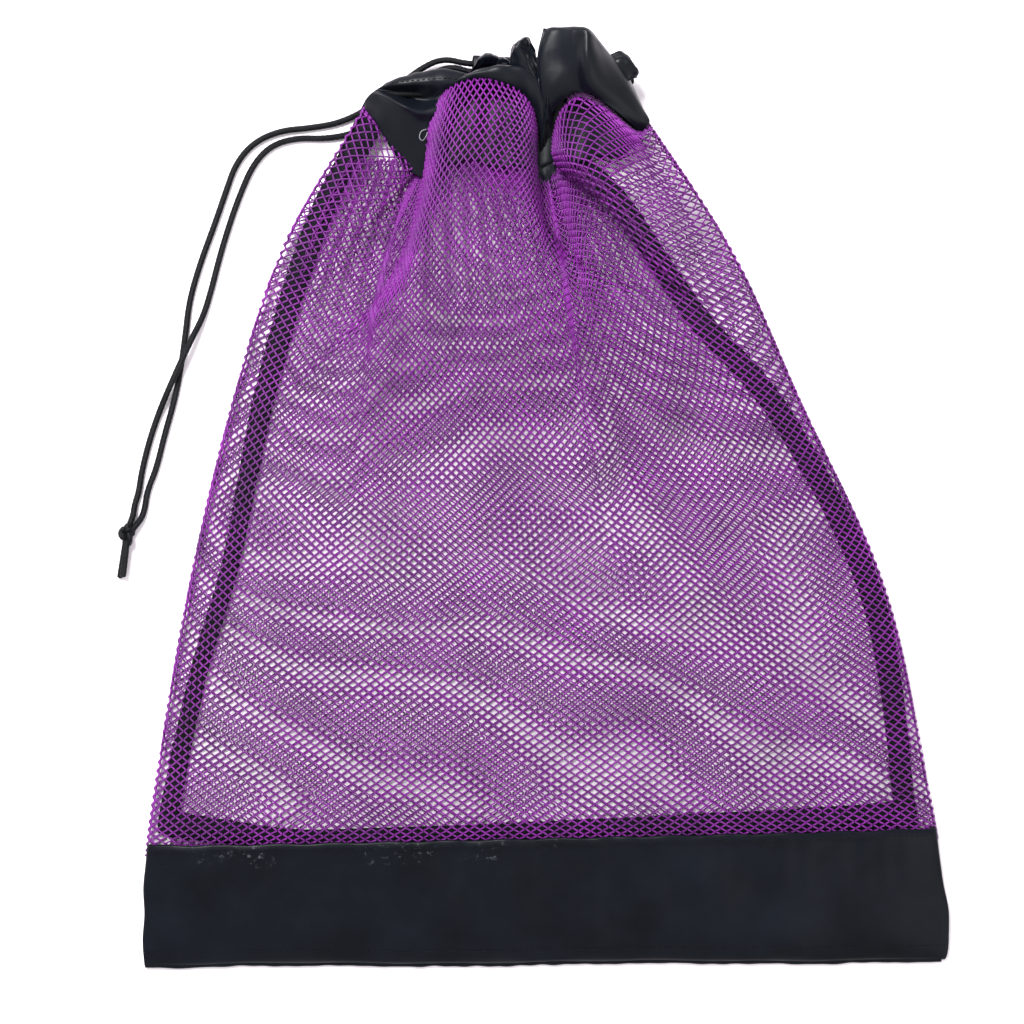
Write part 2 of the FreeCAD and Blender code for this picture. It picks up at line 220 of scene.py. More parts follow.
def inside(outline, x, y):
    """Distance from points to a closed outline, positive inside it."""
    corners = refine(outline, 72, closed=True)[:-1]
    nearest = np.full(np.shape(x), 1e9)
    crossed = np.zeros(np.shape(x), bool)
    for (x0, y0), (x1, y1) in zip(corners, np.roll(corners, -1, axis=0)):
        dx, dy = x1 - x0, y1 - y0
        t = np.clip(((x - x0) * dx + (y - y0) * dy) / (dx * dx + dy * dy), 0, 1)
        nearest = np.minimum(nearest, (x - x0 - t * dx) ** 2 + (y - y0 - t * dy) ** 2)
        spans = (y0 > y) != (y1 > y)
        crossed ^= spans & (x < x0 + (y - y0) * dx / (dy if abs(dy) > 1e-9 else 1e-9))
    return np.where(crossed, 1, -1) * np.sqrt(nearest)


def drawn_in(grid):
    """Points brought in towards the middle of the view by their height, so that high folds stay over
    their places."""
    middle = np.array(VIEW_CENTRE) / MM
    share = (grid[..., 2:] * MM - VIEW_PLANE) / VIEW_DISTANCE
    return np.concatenate([middle + (grid[..., :2] - middle) * (1 - share), grid[..., 2:]], axis=-1)


def dome(t, power=2.2):
    """Round shoulder: rises steeply from 0 at t = 0 and is level at 1 from t = 1."""
    return (1 - (1 - np.clip(t, 0, 1)) ** power) ** (1 / power)


# --- Mesh helpers ---

def volume(points, faces):
    """Signed volume inside closed four-sided faces: the sum of a dot (b cross c) over their triangles,
    over six."""
    a, b, c, d = (points[faces[:, k]] for k in range(4))
    return ((a * np.cross(b, c)).sum() + (a * np.cross(c, d)).sum()) / 6


def make(name, points, faces, uv, material, body=None):
    """Mesh piece from points in millimetres, four-sided faces and a UV for each face corner, turned
    outwards."""
    if volume(points, faces) < 0:
        faces = faces[:, ::-1]
        uv = uv.reshape(-1, 4, 2)[:, ::-1].reshape(-1, 2)
    mesh = bpy.data.meshes.new(name)
    mesh.vertices.add(len(points))
    mesh.vertices.foreach_set("co", (points * MM).astype(np.float32).ravel())
    mesh.loops.add(faces.size)
    mesh.polygons.add(len(faces))
    mesh.loops.foreach_set("vertex_index", faces.astype(np.int32).ravel())
    mesh.polygons.foreach_set("loop_start", np.arange(0, faces.size, 4, dtype=np.int32))
    mesh.update(calc_edges=True)
    mesh.validate()
    layer = mesh.uv_layers.new(name="cloth")
    layer.data.foreach_set("uv", uv.astype(np.float32).ravel())
    mesh.shade_smooth()
    mesh.materials.append(material)
    piece = bpy.data.objects.new(name, mesh)
    scene.collection.objects.link(piece)
    if body:
        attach(piece, body)
    return piece


def cloth(name, grid, thickness, material, body=None):
    """Closed thin sheet: a grid of points, the same grid a thickness behind it along the normals, and a
    rim. The UV is the mean distance in metres along each way of the grid."""
    rows, columns = grid.shape[:2]
    behind = grid - normals(grid) * thickness
    points = np.concatenate([grid.reshape(-1, 3), behind.reshape(-1, 3)])
    index = np.arange(rows * columns).reshape(rows, columns)
    front = np.stack([index[:-1, :-1], index[:-1, 1:], index[1:, 1:], index[1:, :-1]], -1).reshape(-1, 4)
    back = front[:, ::-1] + rows * columns
    rim = np.concatenate([index[0, :-1], index[:-1, -1], index[-1, :0:-1], index[:0:-1, 0]])
    after = np.roll(rim, -1)
    edge = np.stack([rim + rows * columns, after + rows * columns, after, rim], -1)
    faces = np.concatenate([front, back, edge])
    across = np.linalg.norm(np.diff(grid, axis=1), axis=2).mean(axis=0)
    up = np.linalg.norm(np.diff(grid, axis=0), axis=2).mean(axis=1)
    u = np.concatenate([[0], np.cumsum(across)]) * MM
    v = np.concatenate([[0], np.cumsum(up)]) * MM
    place = np.stack(np.broadcast_arrays(u[None, :], v[:, None]), -1).reshape(-1, 2)
    place = np.concatenate([place, place])
    return make(name, points, faces, place[faces.ravel()], material, body)


def tubes(name, line, up, radius, sides, material, body=None, relief=None, narrow=1.0):
    """Round closed tubes: line[s, i] is the centre of strand s and up[s, i] a direction across it. Each
    ring is centre + radius (cos a side + sin a lift), side being tangent x up and lift being side x
    tangent. relief(distance along, angle) is added to the radius, and narrow scales the side way alone."""
    strands, rings = line.shape[:2]
    tangent = unit(np.gradient(line, axis=1))
    side = unit(np.cross(tangent, up))
    lift = np.cross(side, tangent)
    angle = np.arange(sides) / sides * 2 * np.pi
    step = np.linalg.norm(np.diff(line, axis=1), axis=2)
    distance = np.concatenate([np.zeros((strands, 1)), np.cumsum(step, axis=1)], axis=1)
    radius = np.broadcast_to(np.asarray(radius, float), (strands, rings))[:, :, None]
    if relief is not None:
        radius = radius + relief(distance[:, :, None], angle[None, None, :])
    radius = radius[..., None]
    outward = narrow * np.cos(angle)[:, None] * side[:, :, None] + np.sin(angle)[:, None] * lift[:, :, None]
    ring = line[:, :, None] + radius * outward
    index = np.arange(strands * rings * sides).reshape(strands, rings, sides)
    after = np.roll(index, -1, axis=2)
    wall = np.stack([index[:, :-1], index[:, 1:], after[:, 1:], after[:, :-1]], -1).reshape(-1, 4)
    start = np.concatenate([index[:, 0][:, [0, j, j + 1, j + 2]] for j in range(1, sides - 1, 2)])
    end = np.concatenate([index[:, -1][:, [j + 2, j + 1, j, 0]] for j in range(1, sides - 1, 2)])
    faces = np.concatenate([wall, start, end])
    girth = np.arange(sides + 1) / sides * 2 * np.pi * float(np.mean(radius))
    u = np.broadcast_to(distance[:, :, None], (strands, rings, sides))
    v0 = np.broadcast_to(girth[:-1], (strands, rings, sides))
    v1 = np.broadcast_to(girth[1:], (strands, rings, sides))
    corners = [np.stack([u[:, :-1], v0[:, :-1]], -1), np.stack([u[:, 1:], v0[:, 1:]], -1),
               np.stack([u[:, 1:], v1[:, 1:]], -1), np.stack([u[:, :-1], v1[:, :-1]], -1)]
    uv = np.stack(corners, 3).reshape(-1, 2)
    uv = np.concatenate([uv, np.zeros(((len(start) + len(end)) * 4, 2))]) * MM
    return make(name, ring.reshape(-1, 3), faces, uv, material, body)


def stitches(name, line, up, pitch, length, radius, material, body=None):
    """Row of short thread stitches along a line of points, each a small rounded tube that bows a little
    off the cloth by the sine of the way along it."""
    distance = distances(line)
    starts = np.arange(pitch * 0.3, distance[-1] - length, pitch)
    t = np.linspace(0, 1, 5)
    at = starts[:, None] + t[None] * length
    centre = np.stack([np.interp(at, distance, line[:, k]) for k in range(3)], -1)
    above = unit(np.stack([np.interp(at, distance, up[:, k]) for k in range(3)], -1))
    centre = centre + above * (radius * (0.1 + 0.9 * np.sin(np.pi * t)))[None, :, None]
    size = radius * (0.35 + 0.65 * np.sin(np.pi * t) ** 0.5)
    return tubes(name, centre, above, np.broadcast_to(size, at.shape), 6, material, body)


# --- Materials ---

# Scale at which the wave texture's bands lie a metre apart, by their direction
BANDS_A_METRE_APART = {"X": 0.314159, "Y": 0.314159, "DIAGONAL": 0.628319}


def node(tree, kind, settings=(), **links):
    """One shader node: its settings by name, then its inputs, each a value or another node's output. An
    input is given by its name, or by i and its number."""
    made = tree.nodes.new(kind)
    for key, value in dict(settings).items():
        setattr(made, key, value)
    for key, value in links.items():
        numbered = key[0] == "i" and key[1:].isdigit()
        socket = made.inputs[int(key[1:]) if numbered else key.replace("_", " ")]
        if isinstance(value, bpy.types.NodeSocket):
            tree.links.new(value, socket)
        else:
            socket.default_value = value
    return made


def finish_of(name, roughness, specular=0.5, sheen=0.0, sheen_roughness=0.5, sheen_tint=(1, 1, 1, 1)):
    """Material with a Principled shader, its constant sockets set directly. Returns it, its tree and
    the shader."""
    made = bpy.data.materials.new(name)
    made.use_nodes = True
    tree = made.node_tree
    shader = tree.nodes["Principled BSDF"]
    shader.inputs["Roughness"].default_value = roughness
    shader.inputs["Specular IOR Level"].default_value = specular
    shader.inputs["Sheen Weight"].default_value = sheen
    shader.inputs["Sheen Roughness"].default_value = sheen_roughness
    shader.inputs["Sheen Tint"].default_value = sheen_tint
    return made, tree, shader


def noise(tree, where, scale, detail=3.0, rough=0.55):
    """Noise texture on a coordinate, as its 0 to 1 factor."""
    made = node(tree, "ShaderNodeTexNoise", Vector=where, Scale=scale, Detail=detail, Roughness=rough)
    return made.outputs["Fac"]


def stripes(tree, where, period, direction):
    """Bands of a period in metres along one axis, or along the diagonal."""
    return node(tree, "ShaderNodeTexWave", {"bands_direction": direction, "wave_profile": "SIN"},
                Vector=where, Scale=BANDS_A_METRE_APART[direction] / period, Distortion=0.0,
                Detail=0.0).outputs["Fac"]


def blend_colours(tree, factor, first, second, low=0.3, high=0.7):
    """Colour that goes from one to another as a factor goes from low to high."""
    ramp = node(tree, "ShaderNodeValToRGB", Fac=factor)
    ramp.color_ramp.elements[0].position = low
    ramp.color_ramp.elements[0].color = (*first, 1)
    ramp.color_ramp.elements[1].position = high
    ramp.color_ramp.elements[1].color = (*second, 1)
    return ramp.outputs["Color"]


def smooth_range(tree, value, start, end, top=1.0):
    """Factor that rises smoothly from 0 to a top as a value goes from start to end."""
    return node(tree, "ShaderNodeMapRange", {"interpolation_type": "SMOOTHSTEP"},
                i0=value, i1=start, i2=end, i3=0.0, i4=top).outputs[0]


def product(tree, first, second):
    """First factor times second."""
    return node(tree, "ShaderNodeMath", {"operation": "MULTIPLY"}, i0=first, i1=second).outputs[0]


def bumps(tree, shader, layers):
    """Bump nodes in a chain, each with a height, a distance in metres and a strength."""
    last = None
    for height, distance, strength in layers:
        bump = node(tree, "ShaderNodeBump", Height=height, Distance=distance, Strength=strength)
        if last is not None:
            tree.links.new(last, bump.inputs["Normal"])
        last = bump.outputs["Normal"]
    tree.links.new(last, shader.inputs["Normal"])


def varied_roughness(tree, shader, factor, low, high):
    """Roughness that goes from low to high with a factor."""
    spread = node(tree, "ShaderNodeMapRange", i0=factor, i1=0.25, i2=0.75, i3=low, i4=high)
    tree.links.new(spread.outputs[0], shader.inputs["Roughness"])


def net_yarn():
    """Purple multifilament yarn: twisted plies, fine filaments, and soft patches and flecks of two
    shades."""
    made, tree, shader = finish_of("purple_net_yarn", 0.38, 0.45, 0.10, 0.35, (0.95, 0.45, 1.0, 1))
    where = node(tree, "ShaderNodeTexCoord")
    patches = noise(tree, where.outputs["Object"], 38.0, 3.0)
    flecks = noise(tree, where.outputs["Object"], 900.0, 2.0)
    mixed = node(tree, "ShaderNodeMath", {"operation": "MULTIPLY_ADD"}, i0=flecks, i1=0.7, i2=-0.35)
    both = node(tree, "ShaderNodeMath", {"operation": "ADD"}, i0=mixed.outputs[0], i1=patches)
    colour = blend_colours(tree, both.outputs[0], (0.064, 0.0010, 0.094), (0.235, 0.0095, 0.305), 0.2, 0.8)
    tree.links.new(colour, shader.inputs["Base Color"])
    plies = stripes(tree, where.outputs["UV"], 0.0011, "DIAGONAL")
    filaments = noise(tree, where.outputs["UV"], 5200.0, 2.0)
    bumps(tree, shader, [(filaments, 0.00012, 0.4), (plies, 0.00022, 0.7)])
    varied_roughness(tree, shader, flecks, 0.34, 0.52)
    return made


def rubbed(tree, where, colour):
    """Colour with pale rubbed specks under the seam, on the left half, where a coarse and a fine noise
    agree."""
    parts = node(tree, "ShaderNodeSeparateXYZ", Vector=where)
    along_seam = node(tree, "ShaderNodeMath", {"operation": "MULTIPLY_ADD"},
                      i0=parts.outputs["X"], i1=-SEAM_SLOPE, i2=parts.outputs["Y"])
    amount = smooth_range(tree, along_seam.outputs[0], -0.206, -0.198)
    for other in (smooth_range(tree, parts.outputs["X"], 0.03, -0.03),
                  smooth_range(tree, noise(tree, where, 260.0, 5.0, 0.75), 0.56, 0.70),
                  smooth_range(tree, noise(tree, where, 42.0, 2.0), 0.46, 0.60, 0.55)):
        amount = product(tree, amount, other)
    mix = node(tree, "ShaderNodeMix", {"data_type": "RGBA"}, i0=amount, i6=colour, i7=(0.10, 0.11, 0.13, 1))
    return mix.outputs[2]


def black_nylon(name, specular, scuffs=False):
    """Coated woven nylon: a fine plain weave, small crumples, soft blue-black patches and, if asked,
    rubbed specks."""
    made, tree, shader = finish_of(name, 0.30, specular, 0.01, 0.45, (0.62, 0.72, 0.92, 1))
    where = node(tree, "ShaderNodeTexCoord")
    cloud = noise(tree, where.outputs["Object"], 26.0, 4.0)
    colour = blend_colours(tree, cloud, (0.0014, 0.0020, 0.0036), (0.0036, 0.0050, 0.0084), 0.3, 0.72)
    if scuffs:
        colour = rubbed(tree, where.outputs["Object"], colour)
    tree.links.new(colour, shader.inputs["Base Color"])
    warp = stripes(tree, where.outputs["UV"], 0.00042, "X")
    weft = stripes(tree, where.outputs["UV"], 0.00042, "Y")
    crumple = noise(tree, where.outputs["Object"], 120.0, 4.0, 0.5)
    soft = noise(tree, where.outputs["Object"], 30.0, 2.0)
    weave = product(tree, warp, weft)
    bumps(tree, shader, [(weave, 0.00005, 0.35), (crumple, 0.0005, 0.18), (soft, 0.004, 0.22)])
    varied_roughness(tree, shader, crumple, 0.27, 0.40)
    return made


def binding_tape():
    """Black woven binding: ribs across it, fine yarns along it, and slightly lighter patches."""
    made, tree, shader = finish_of("black_binding", 0.62, 0.12, 0.01, 0.5, (0.7, 0.76, 0.9, 1))
    where = node(tree, "ShaderNodeTexCoord")
    cloud = noise(tree, where.outputs["Object"], 60.0, 3.0)
    colour = blend_colours(tree, cloud, (0.0025, 0.0022, 0.0045), (0.007, 0.006, 0.012))
    tree.links.new(colour, shader.inputs["Base Color"])
    ribs = stripes(tree, where.outputs["UV"], 0.0011, "Y")
    yarns = stripes(tree, where.outputs["UV"], 0.0007, "X")
    bumps(tree, shader, [(yarns, 0.0001, 0.5), (ribs, 0.00025, 0.7)])
    varied_roughness(tree, shader, cloud, 0.55, 0.72)
    return made


def thread(name, dark, light):
    """Sewing thread: a fine twist and a slight change of shade along it."""
    made, tree, shader = finish_of(name, 0.65, 0.08, 0.0, 0.4)
    where = node(tree, "ShaderNodeTexCoord")
    cloud = noise(tree, where.outputs["Object"], 240.0, 2.0)
    tree.links.new(blend_colours(tree, cloud, dark, light), shader.inputs["Base Color"])
    twist = stripes(tree, where.outputs["UV"], 0.0006, "DIAGONAL")
    bumps(tree, shader, [(twist, 0.0001, 0.8)])
    varied_roughness(tree, shader, cloud, 0.42, 0.6)
    return made


def braid_finish():
    """Black braided cord: fine filaments and a close diagonal twist, in two nearly black shades."""
    made, tree, shader = finish_of("black_braid", 0.34, 0.12, 0.0, 0.4, (0.7, 0.75, 0.85, 1))
    where = node(tree, "ShaderNodeTexCoord")
    cloud = noise(tree, where.outputs["Object"], 420.0, 3.0)
    colour = blend_colours(tree, cloud, (0.0012, 0.0013, 0.002), (0.006, 0.0065, 0.008))
    tree.links.new(colour, shader.inputs["Base Color"])
    filaments = noise(tree, where.outputs["UV"], 3600.0, 2.0)
    fine = stripes(tree, where.outputs["UV"], 0.00055, "DIAGONAL")
    bumps(tree, shader, [(filaments, 0.00008, 0.5), (fine, 0.00012, 0.6)])
    varied_roughness(tree, shader, cloud, 0.33, 0.5)
    return made


YARN = net_yarn()
CASING = black_nylon("black_nylon_casing", 0.16)
BAND = black_nylon("black_nylon_band", 0.09, scuffs=True)
BINDING = binding_tape()
THREAD = thread("black_thread", (0.003, 0.0035, 0.005), (0.009, 0.010, 0.013))
GREY_THREAD = thread("grey_thread", (0.13, 0.12, 0.15), (0.30, 0.29, 0.33))
BRAID = braid_finish()


# --- Drawcord ---

# Routes of the two free strands, in metres, from inside the sleeve to the knot
STRAND_A = [(-0.022, 0.2449, 0.0092), (-0.043, 0.2453, 0.0090), (-0.058, 0.2496, 0.0070),
            (-0.072, 0.2434, 0.0040),
            (-0.085, 0.233, 0.00175), (-0.0995, 0.2222, 0.00175), (-0.116, 0.2138, 0.00175),
            (-0.133, 0.2108, 0.00175), (-0.150, 0.2094, 0.00175), (-0.165, 0.203, 0.00175),
            (-0.1755, 0.191, 0.00175), (-0.1815, 0.174, 0.00175), (-0.188, 0.155, 0.00175),
            (-0.1955, 0.135, 0.00175), (-0.202, 0.113, 0.00175), (-0.2043, 0.093, 0.00175),
            (-0.2069, 0.074, 0.00175), (-0.2104, 0.056, 0.00175), (-0.216, 0.037, 0.00175),
            (-0.2205, 0.018, 0.00175), (-0.2260, 0.0045, 0.00175), (-0.2272, -0.0055, 0.0018),
            (-0.2298, -0.0125, 0.0026), (-0.2352, -0.0182, 0.0044)]
STRAND_B = [(-0.022, 0.2407, 0.0092), (-0.041, 0.2404, 0.0091), (-0.053, 0.245, 0.0076),
            (-0.066, 0.2404, 0.0044),
            (-0.0795, 0.2286, 0.00175), (-0.093, 0.2166, 0.00175), (-0.1085, 0.2076, 0.00175),
            (-0.125, 0.2046, 0.00175), (-0.141, 0.2052, 0.00175), (-0.1555, 0.201, 0.00175),
            (-0.1655, 0.1905, 0.00175), (-0.1725, 0.175, 0.00175), (-0.179, 0.157, 0.00175),
            (-0.185, 0.137, 0.00175), (-0.1895, 0.119, 0.00175), (-0.194, 0.104, 0.00175),
            (-0.2006, 0.090, 0.0062), (-0.212, 0.065, 0.0062), (-0.219, 0.050, 0.00175),
            (-0.2245, 0.034, 0.00175), (-0.2290, 0.016, 0.00175), (-0.2306, 0.0045, 0.00175),
            (-0.2332, -0.0035, 0.0018), (-0.2336, -0.0090, 0.0026), (-0.2366, -0.0170, 0.0042)]
# Routes of the two tails below the knot
TAIL_A = [(-0.2366, -0.0200, 0.0049), (-0.2379, -0.034, 0.0049), (-0.2392, -0.0440, 0.0049)]
TAIL_B = [(-0.2376, -0.0200, 0.00175), (-0.2397, -0.034, 0.00175), (-0.2414, -0.0447, 0.00175)]
# Routes inside the front and the back casing
FRONT_LEFT_RUN = [(-0.090, 0.227, 0.020), (-0.070, 0.2265, 0.0205), (-0.046, 0.2298, 0.020),
                  (-0.024, 0.2304, 0.0205), (-0.009, 0.2326, 0.0224)]
FRONT_RIGHT_RUN = [(-0.010, 0.2323, 0.0222), (0.007, 0.2384, 0.027), (0.023, 0.2396, 0.0291),
                   (0.037, 0.236, 0.028)]
BACK_RUN = [(0.006, 0.236, 0.0099), (0.021, 0.236, 0.0099), (0.036, 0.236, 0.0099), (0.050, 0.236, 0.0099)]
# Knot and the rounding of the tails' ends, in millimetres
KNOT_CENTRE = (-237.0, -19.5, 4.3)
KNOT_CORD_RADIUS = 1.62
TAIL_ROUND = 1.4
# Carriers of the braid each way round, and the step in metres at which its relief is drawn
CARRIERS = 4
BRAID_STEP = 0.0004


def spline_line(name, route):
    """Points in metres of the smooth spline whose control points are a route."""
    curve = bpy.data.curves.new(name + "_route", "CURVE")
    curve.dimensions = "3D"
    curve.resolution_u = 24
    spline = curve.splines.new("NURBS")
    spline.points.add(len(route) - 1)
    spline.points.foreach_set("co", [value for point in route for value in (*point, 1.0)])
    spline.order_u = 3
    spline.use_endpoint_u = True
    holder = bpy.data.objects.new(name + "_route", curve)
    scene.collection.objects.link(holder)
    mesh = bpy.data.meshes.new_from_object(holder)
    line = np.empty(len(mesh.vertices) * 3)
    mesh.vertices.foreach_get("co", line)
    bpy.data.objects.remove(holder)
    bpy.data.curves.remove(curve)
    bpy.data.meshes.remove(mesh)
    return line.reshape(-1, 3)


def straight_up(line):
    """The upward direction for each point of one line, as tubes takes it."""
    return np.broadcast_to([0.0, 0.0, 1.0], (1, *line.shape))


def even(line, step):
    """The same line with points an even step apart."""
    length = distances(line)
    at = np.linspace(0, length[-1], int(length[-1] / step) + 2)
    return np.stack([np.interp(at, length, line[:, k]) for k in range(3)], -1)


def braid(distance, angle):
    """Relief of the braid: squared cosines of the angle plus and minus the turn, one set of carriers
    each way, of which each crossing lifts one and lowers the other."""
    turn = 2 * np.pi * distance / BRAID_TURN
    right = np.cos(CARRIERS * (angle + turn)) ** 2
    left = np.cos(CARRIERS * (angle - turn)) ** 2
    over = 0.5 + 0.5 * np.sin(CARRIERS * angle) * np.sin(CARRIERS * turn)
    return 0.5 * np.maximum(right * over, left * (1 - over)) - 0.3


def braided(name, line, body=None, taper=0.6):
    """Braided tube along a line in metres, with ends that round off over a short distance in
    millimetres."""
    line = even(line, BRAID_STEP) / MM
    distance = distances(line)
    ends = np.minimum(distance, distance[-1] - distance)
    size = CORD_DIAMETER / 2 * (0.35 + 0.65 * dome(ends / taper))
    return tubes(name, line[None], straight_up(line), size[None], 32, BRAID, body, braid)


def knot_loop(name, turn, reach, body):
    """Tight overhand loop: (sin t + 2 sin 2t, cos t - 2 cos 2t, -sin 3t), scaled and turned about its
    middle."""
    t = np.linspace(0, 2 * np.pi, 170)
    flat = np.stack([np.sin(t) + 2 * np.sin(2 * t), np.cos(t) - 2 * np.cos(2 * t)], -1)
    c, s = np.cos(turn), np.sin(turn)
    flat = flat @ np.array([[c, s], [-s, c]])
    line = np.stack([flat[:, 0] * reach[0], flat[:, 1] * reach[1], -np.sin(3 * t) * reach[2]], -1)
    line = line + KNOT_CENTRE
    up = unit(line - np.array(KNOT_CENTRE) + np.array([0, 0, 0.4]))
    return tubes(name, line[None], up[None], KNOT_CORD_RADIUS, 24, BRAID, body, braid)


def bend_with_front(piece):
    """Bake a piece's placement into its mesh points; nothing is bent, and the piece stays where it is."""
    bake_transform(piece)


line_a = spline_line("drawcord_strand_a", STRAND_A)
line_b = spline_line("drawcord_strand_b", STRAND_B)
cord_a = braided("cord_strand_a", line_a, "drawcord")
cord_b = braided("cord_strand_b", line_b, "drawcord")
tail_a = braided("cord_tail_a", spline_line("tail_a", TAIL_A), "drawcord", TAIL_ROUND)
tail_b = braided("cord_tail_b", spline_line("tail_b", TAIL_B), "drawcord", TAIL_ROUND)
knot = knot_loop("cord_knot", 0.35, (1.12, 1.9, 2.3), "drawcord")
knot_under = knot_loop("cord_knot_second_loop", 2.2, (1.15, 1.25, 2.0), "drawcord")
front_left_cord = braided("cord_in_front_casing_left", spline_line("front_left_run", FRONT_LEFT_RUN))
front_right_cord = braided("cord_in_front_casing_right", spline_line("front_right_run", FRONT_RIGHT_RUN))
back_cord = braided("cord_in_back_casing", spline_line("back_run", BACK_RUN), "root")
for piece, node_name in ((cord_a, "drawcord_strand_a"), (cord_b, "drawcord_strand_b"),
                         (tail_a, "drawcord_tail_a"), (tail_b, "drawcord_tail_b"),
                         (knot, "drawcord_knot"), (knot_under, None),
                         (front_left_cord, "drawcord_front_run"), (front_right_cord, "drawcord_front_run"),
                         (back_cord, "drawcord_back_run")):
    if node_name:
        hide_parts(node_name)
bend_with_front(front_left_cord)
bend_with_front(front_right_cord)


# --- Height of the front ---

# Outline of the middle fold and the slack below it, then of the two side folds, as (x, y)
MIDDLE_FOLD = [(-36, 247), (-58, 238), (-67, 216), (-68, 190), (-73, 160), (-84, 130), (-100, 106),
               (-118, 88),
               (-133, 74), (-150, 60), (-176, 40), (-240, -20), (-250, -150), (0, -300), (250, -150),
               (260, 40),
               (200, 100), (130, 109), (95, 113), (60, 118), (34, 125), (16, 136), (3, 150), (-3, 166),
               (-5, 190),
               (-5, 216), (-14, 237)]
# Height of each fold over the crown and width of the middle one's shoulder, against y
MIDDLE_RAISE = [(10, 0), (40, 1.5), (70, 8), (100, 17), (130, 25), (160, 30), (190, 32), (236, 27)]
MIDDLE_SHOULDER = [(40, 7), (90, 8), (123, 11), (150, 18), (190, 25), (240, 24)]
RIGHT_FOLD = [(20, 235), (9, 229), (4, 214), (3, 198), (8, 186), (20, 177), (33, 166), (46, 150), (58, 136),
              (76, 119), (96, 100), (125, 70), (210, 60), (210, 200), (120, 226), (60, 222), (40, 228)]
RIGHT_RAISE = [(60, 1), (85, 6), (100, 9), (118, 14), (137, 18), (169, 24), (200, 28), (232, 24)]
LEFT_FOLD = [(-104, 230), (-95, 218), (-88, 207), (-78, 196), (-74, 186), (-84, 172), (-104, 150),
             (-128, 128),
             (-180, 110), (-200, 200), (-140, 240)]
LEFT_RAISE = [(110, 1), (140, 5), (170, 9), (200, 10), (226, 9)]
RIGHT_SHOULDER = 20
LEFT_SHOULDER = 13
# Fine folds: start, end, height and width
FINE_FOLDS = [((-41, 160), (-57, 62), 3.6, 3.2), ((-17, 158), (-12, 78), 3.4, 3.0),
              ((-60, 150), (-96, 66), 1.4, 4.6), ((-27, 150), (-30, 55), 1.5, 4.2),
              ((4, 140), (44, 66), 1.2, 5.2), ((-5, 146), (14, 74), 1.4, 4.4)]


def band_top(x):
    """Place of the seam between the base band and the net."""
    return SEAM_MIDDLE + SEAM_SLOPE * x


def back_level(y):
    """Height at which the net lies under the bag."""
    return along(BACK_LIFT, y) + FLOOR_GAP


def fine_fold(x, y, start, end, height, width):
    """Narrow ridge from one point to another: a bell across it that swells and fades along it."""
    dx, dy = end[0] - start[0], end[1] - start[1]
    length = np.hypot(dx, dy)
    t = ((x - start[0]) * dx + (y - start[1]) * dy) / length ** 2
    off = ((x - start[0]) * dy - (y - start[1]) * dx) / length
    off = off + 2.5 * np.sin(5 * t)
    return height * np.exp(-(off / width) ** 2) * np.sin(np.pi * np.clip(t, 0, 1)) ** 0.8


def front_height(x, y):
    """Height of the front: a low crown between the edges, plus the folds, each a distance inside its
    outline turned into a round shoulder, plus fine folds and a slack ripple. At the edges it meets the
    roll to the underside."""
    left, right = along(LEFT_EDGE, y), along(RIGHT_EDGE, y)
    s = np.clip((2 * x - left - right) / (right - left), -1, 1)
    edge = back_level(y) + EDGE_ROUND
    shape = np.sqrt(1 - np.abs(s) ** 5)
    soft = 1 - s ** 4
    height = edge + (along(CROWN, y) - edge) * shape
    middle = along(MIDDLE_RAISE, y) * dome(inside(MIDDLE_FOLD, x, y) / along(MIDDLE_SHOULDER, y))
    fade = 1 - 0.8 * ease((x - 25) / 110)
    height = height + middle * fade * np.sqrt(soft)
    height = height + along(RIGHT_RAISE, y) * dome(inside(RIGHT_FOLD, x, y) / RIGHT_SHOULDER) * soft
    height = height + along(LEFT_RAISE, y) * dome(inside(LEFT_FOLD, x, y) / LEFT_SHOULDER) * np.sqrt(soft)
    for fold in FINE_FOLDS:
        height = height + fine_fold(x, y, *fold)
    slack = ripple(x, y, 5, 70, 1.8) * 0.9 + ripple(x, y, 6, 26, 2.5) * 0.25
    return height + slack * soft * ease((y - SEAM_MIDDLE) / 60)


def wrapped(top, tuck_left, tuck_right):
    """Rows of a face that rolls under at both edges: top[i, j] runs from edge to edge, a quarter circle
    of EDGE_ROUND turns each edge under, and a level run goes on to the tuck, given as x for each row."""
    turn = np.linspace(0, np.pi / 2, WRAP_BEND)
    rows = []
    for side, tuck in ((0, tuck_left), (-1, tuck_right)):
        end = top[:, side]
        inward = 1.0 if side == 0 else -1.0
        low = end[:, 2] - EDGE_ROUND
        bend_x = end[:, 0][:, None] + inward * EDGE_ROUND * (1 - np.cos(turn))[None]
        bend_z = end[:, 2][:, None] - EDGE_ROUND * np.sin(turn)[None]
        t = np.linspace(0, 1, WRAP_RUN)[1:]
        start = bend_x[:, -1:]
        flat_x = start + (tuck[:, None] - start) * t
        x = np.concatenate([bend_x[:, 1:], flat_x], axis=1)
        z = np.concatenate([bend_z[:, 1:], np.repeat(low[:, None], WRAP_RUN - 1, axis=1)], axis=1)
        y = np.repeat(end[:, 1][:, None], x.shape[1], axis=1)
        rows.append(np.stack([x, y, z], -1))
    return np.concatenate([rows[0][:, ::-1], top, rows[1]], axis=1)


# --- Net ---

# Places up one cell, from 0 to 1, at which a strand bends
CROSSING = (0.0, 0.14, 0.5, 0.64)


def levels(cells):
    """Places up the net, from 0 to 1, at which each strand bends: two close together at every crossing."""
    return ((np.arange(cells)[:, None] + np.array(CROSSING)[None]) / cells).ravel()


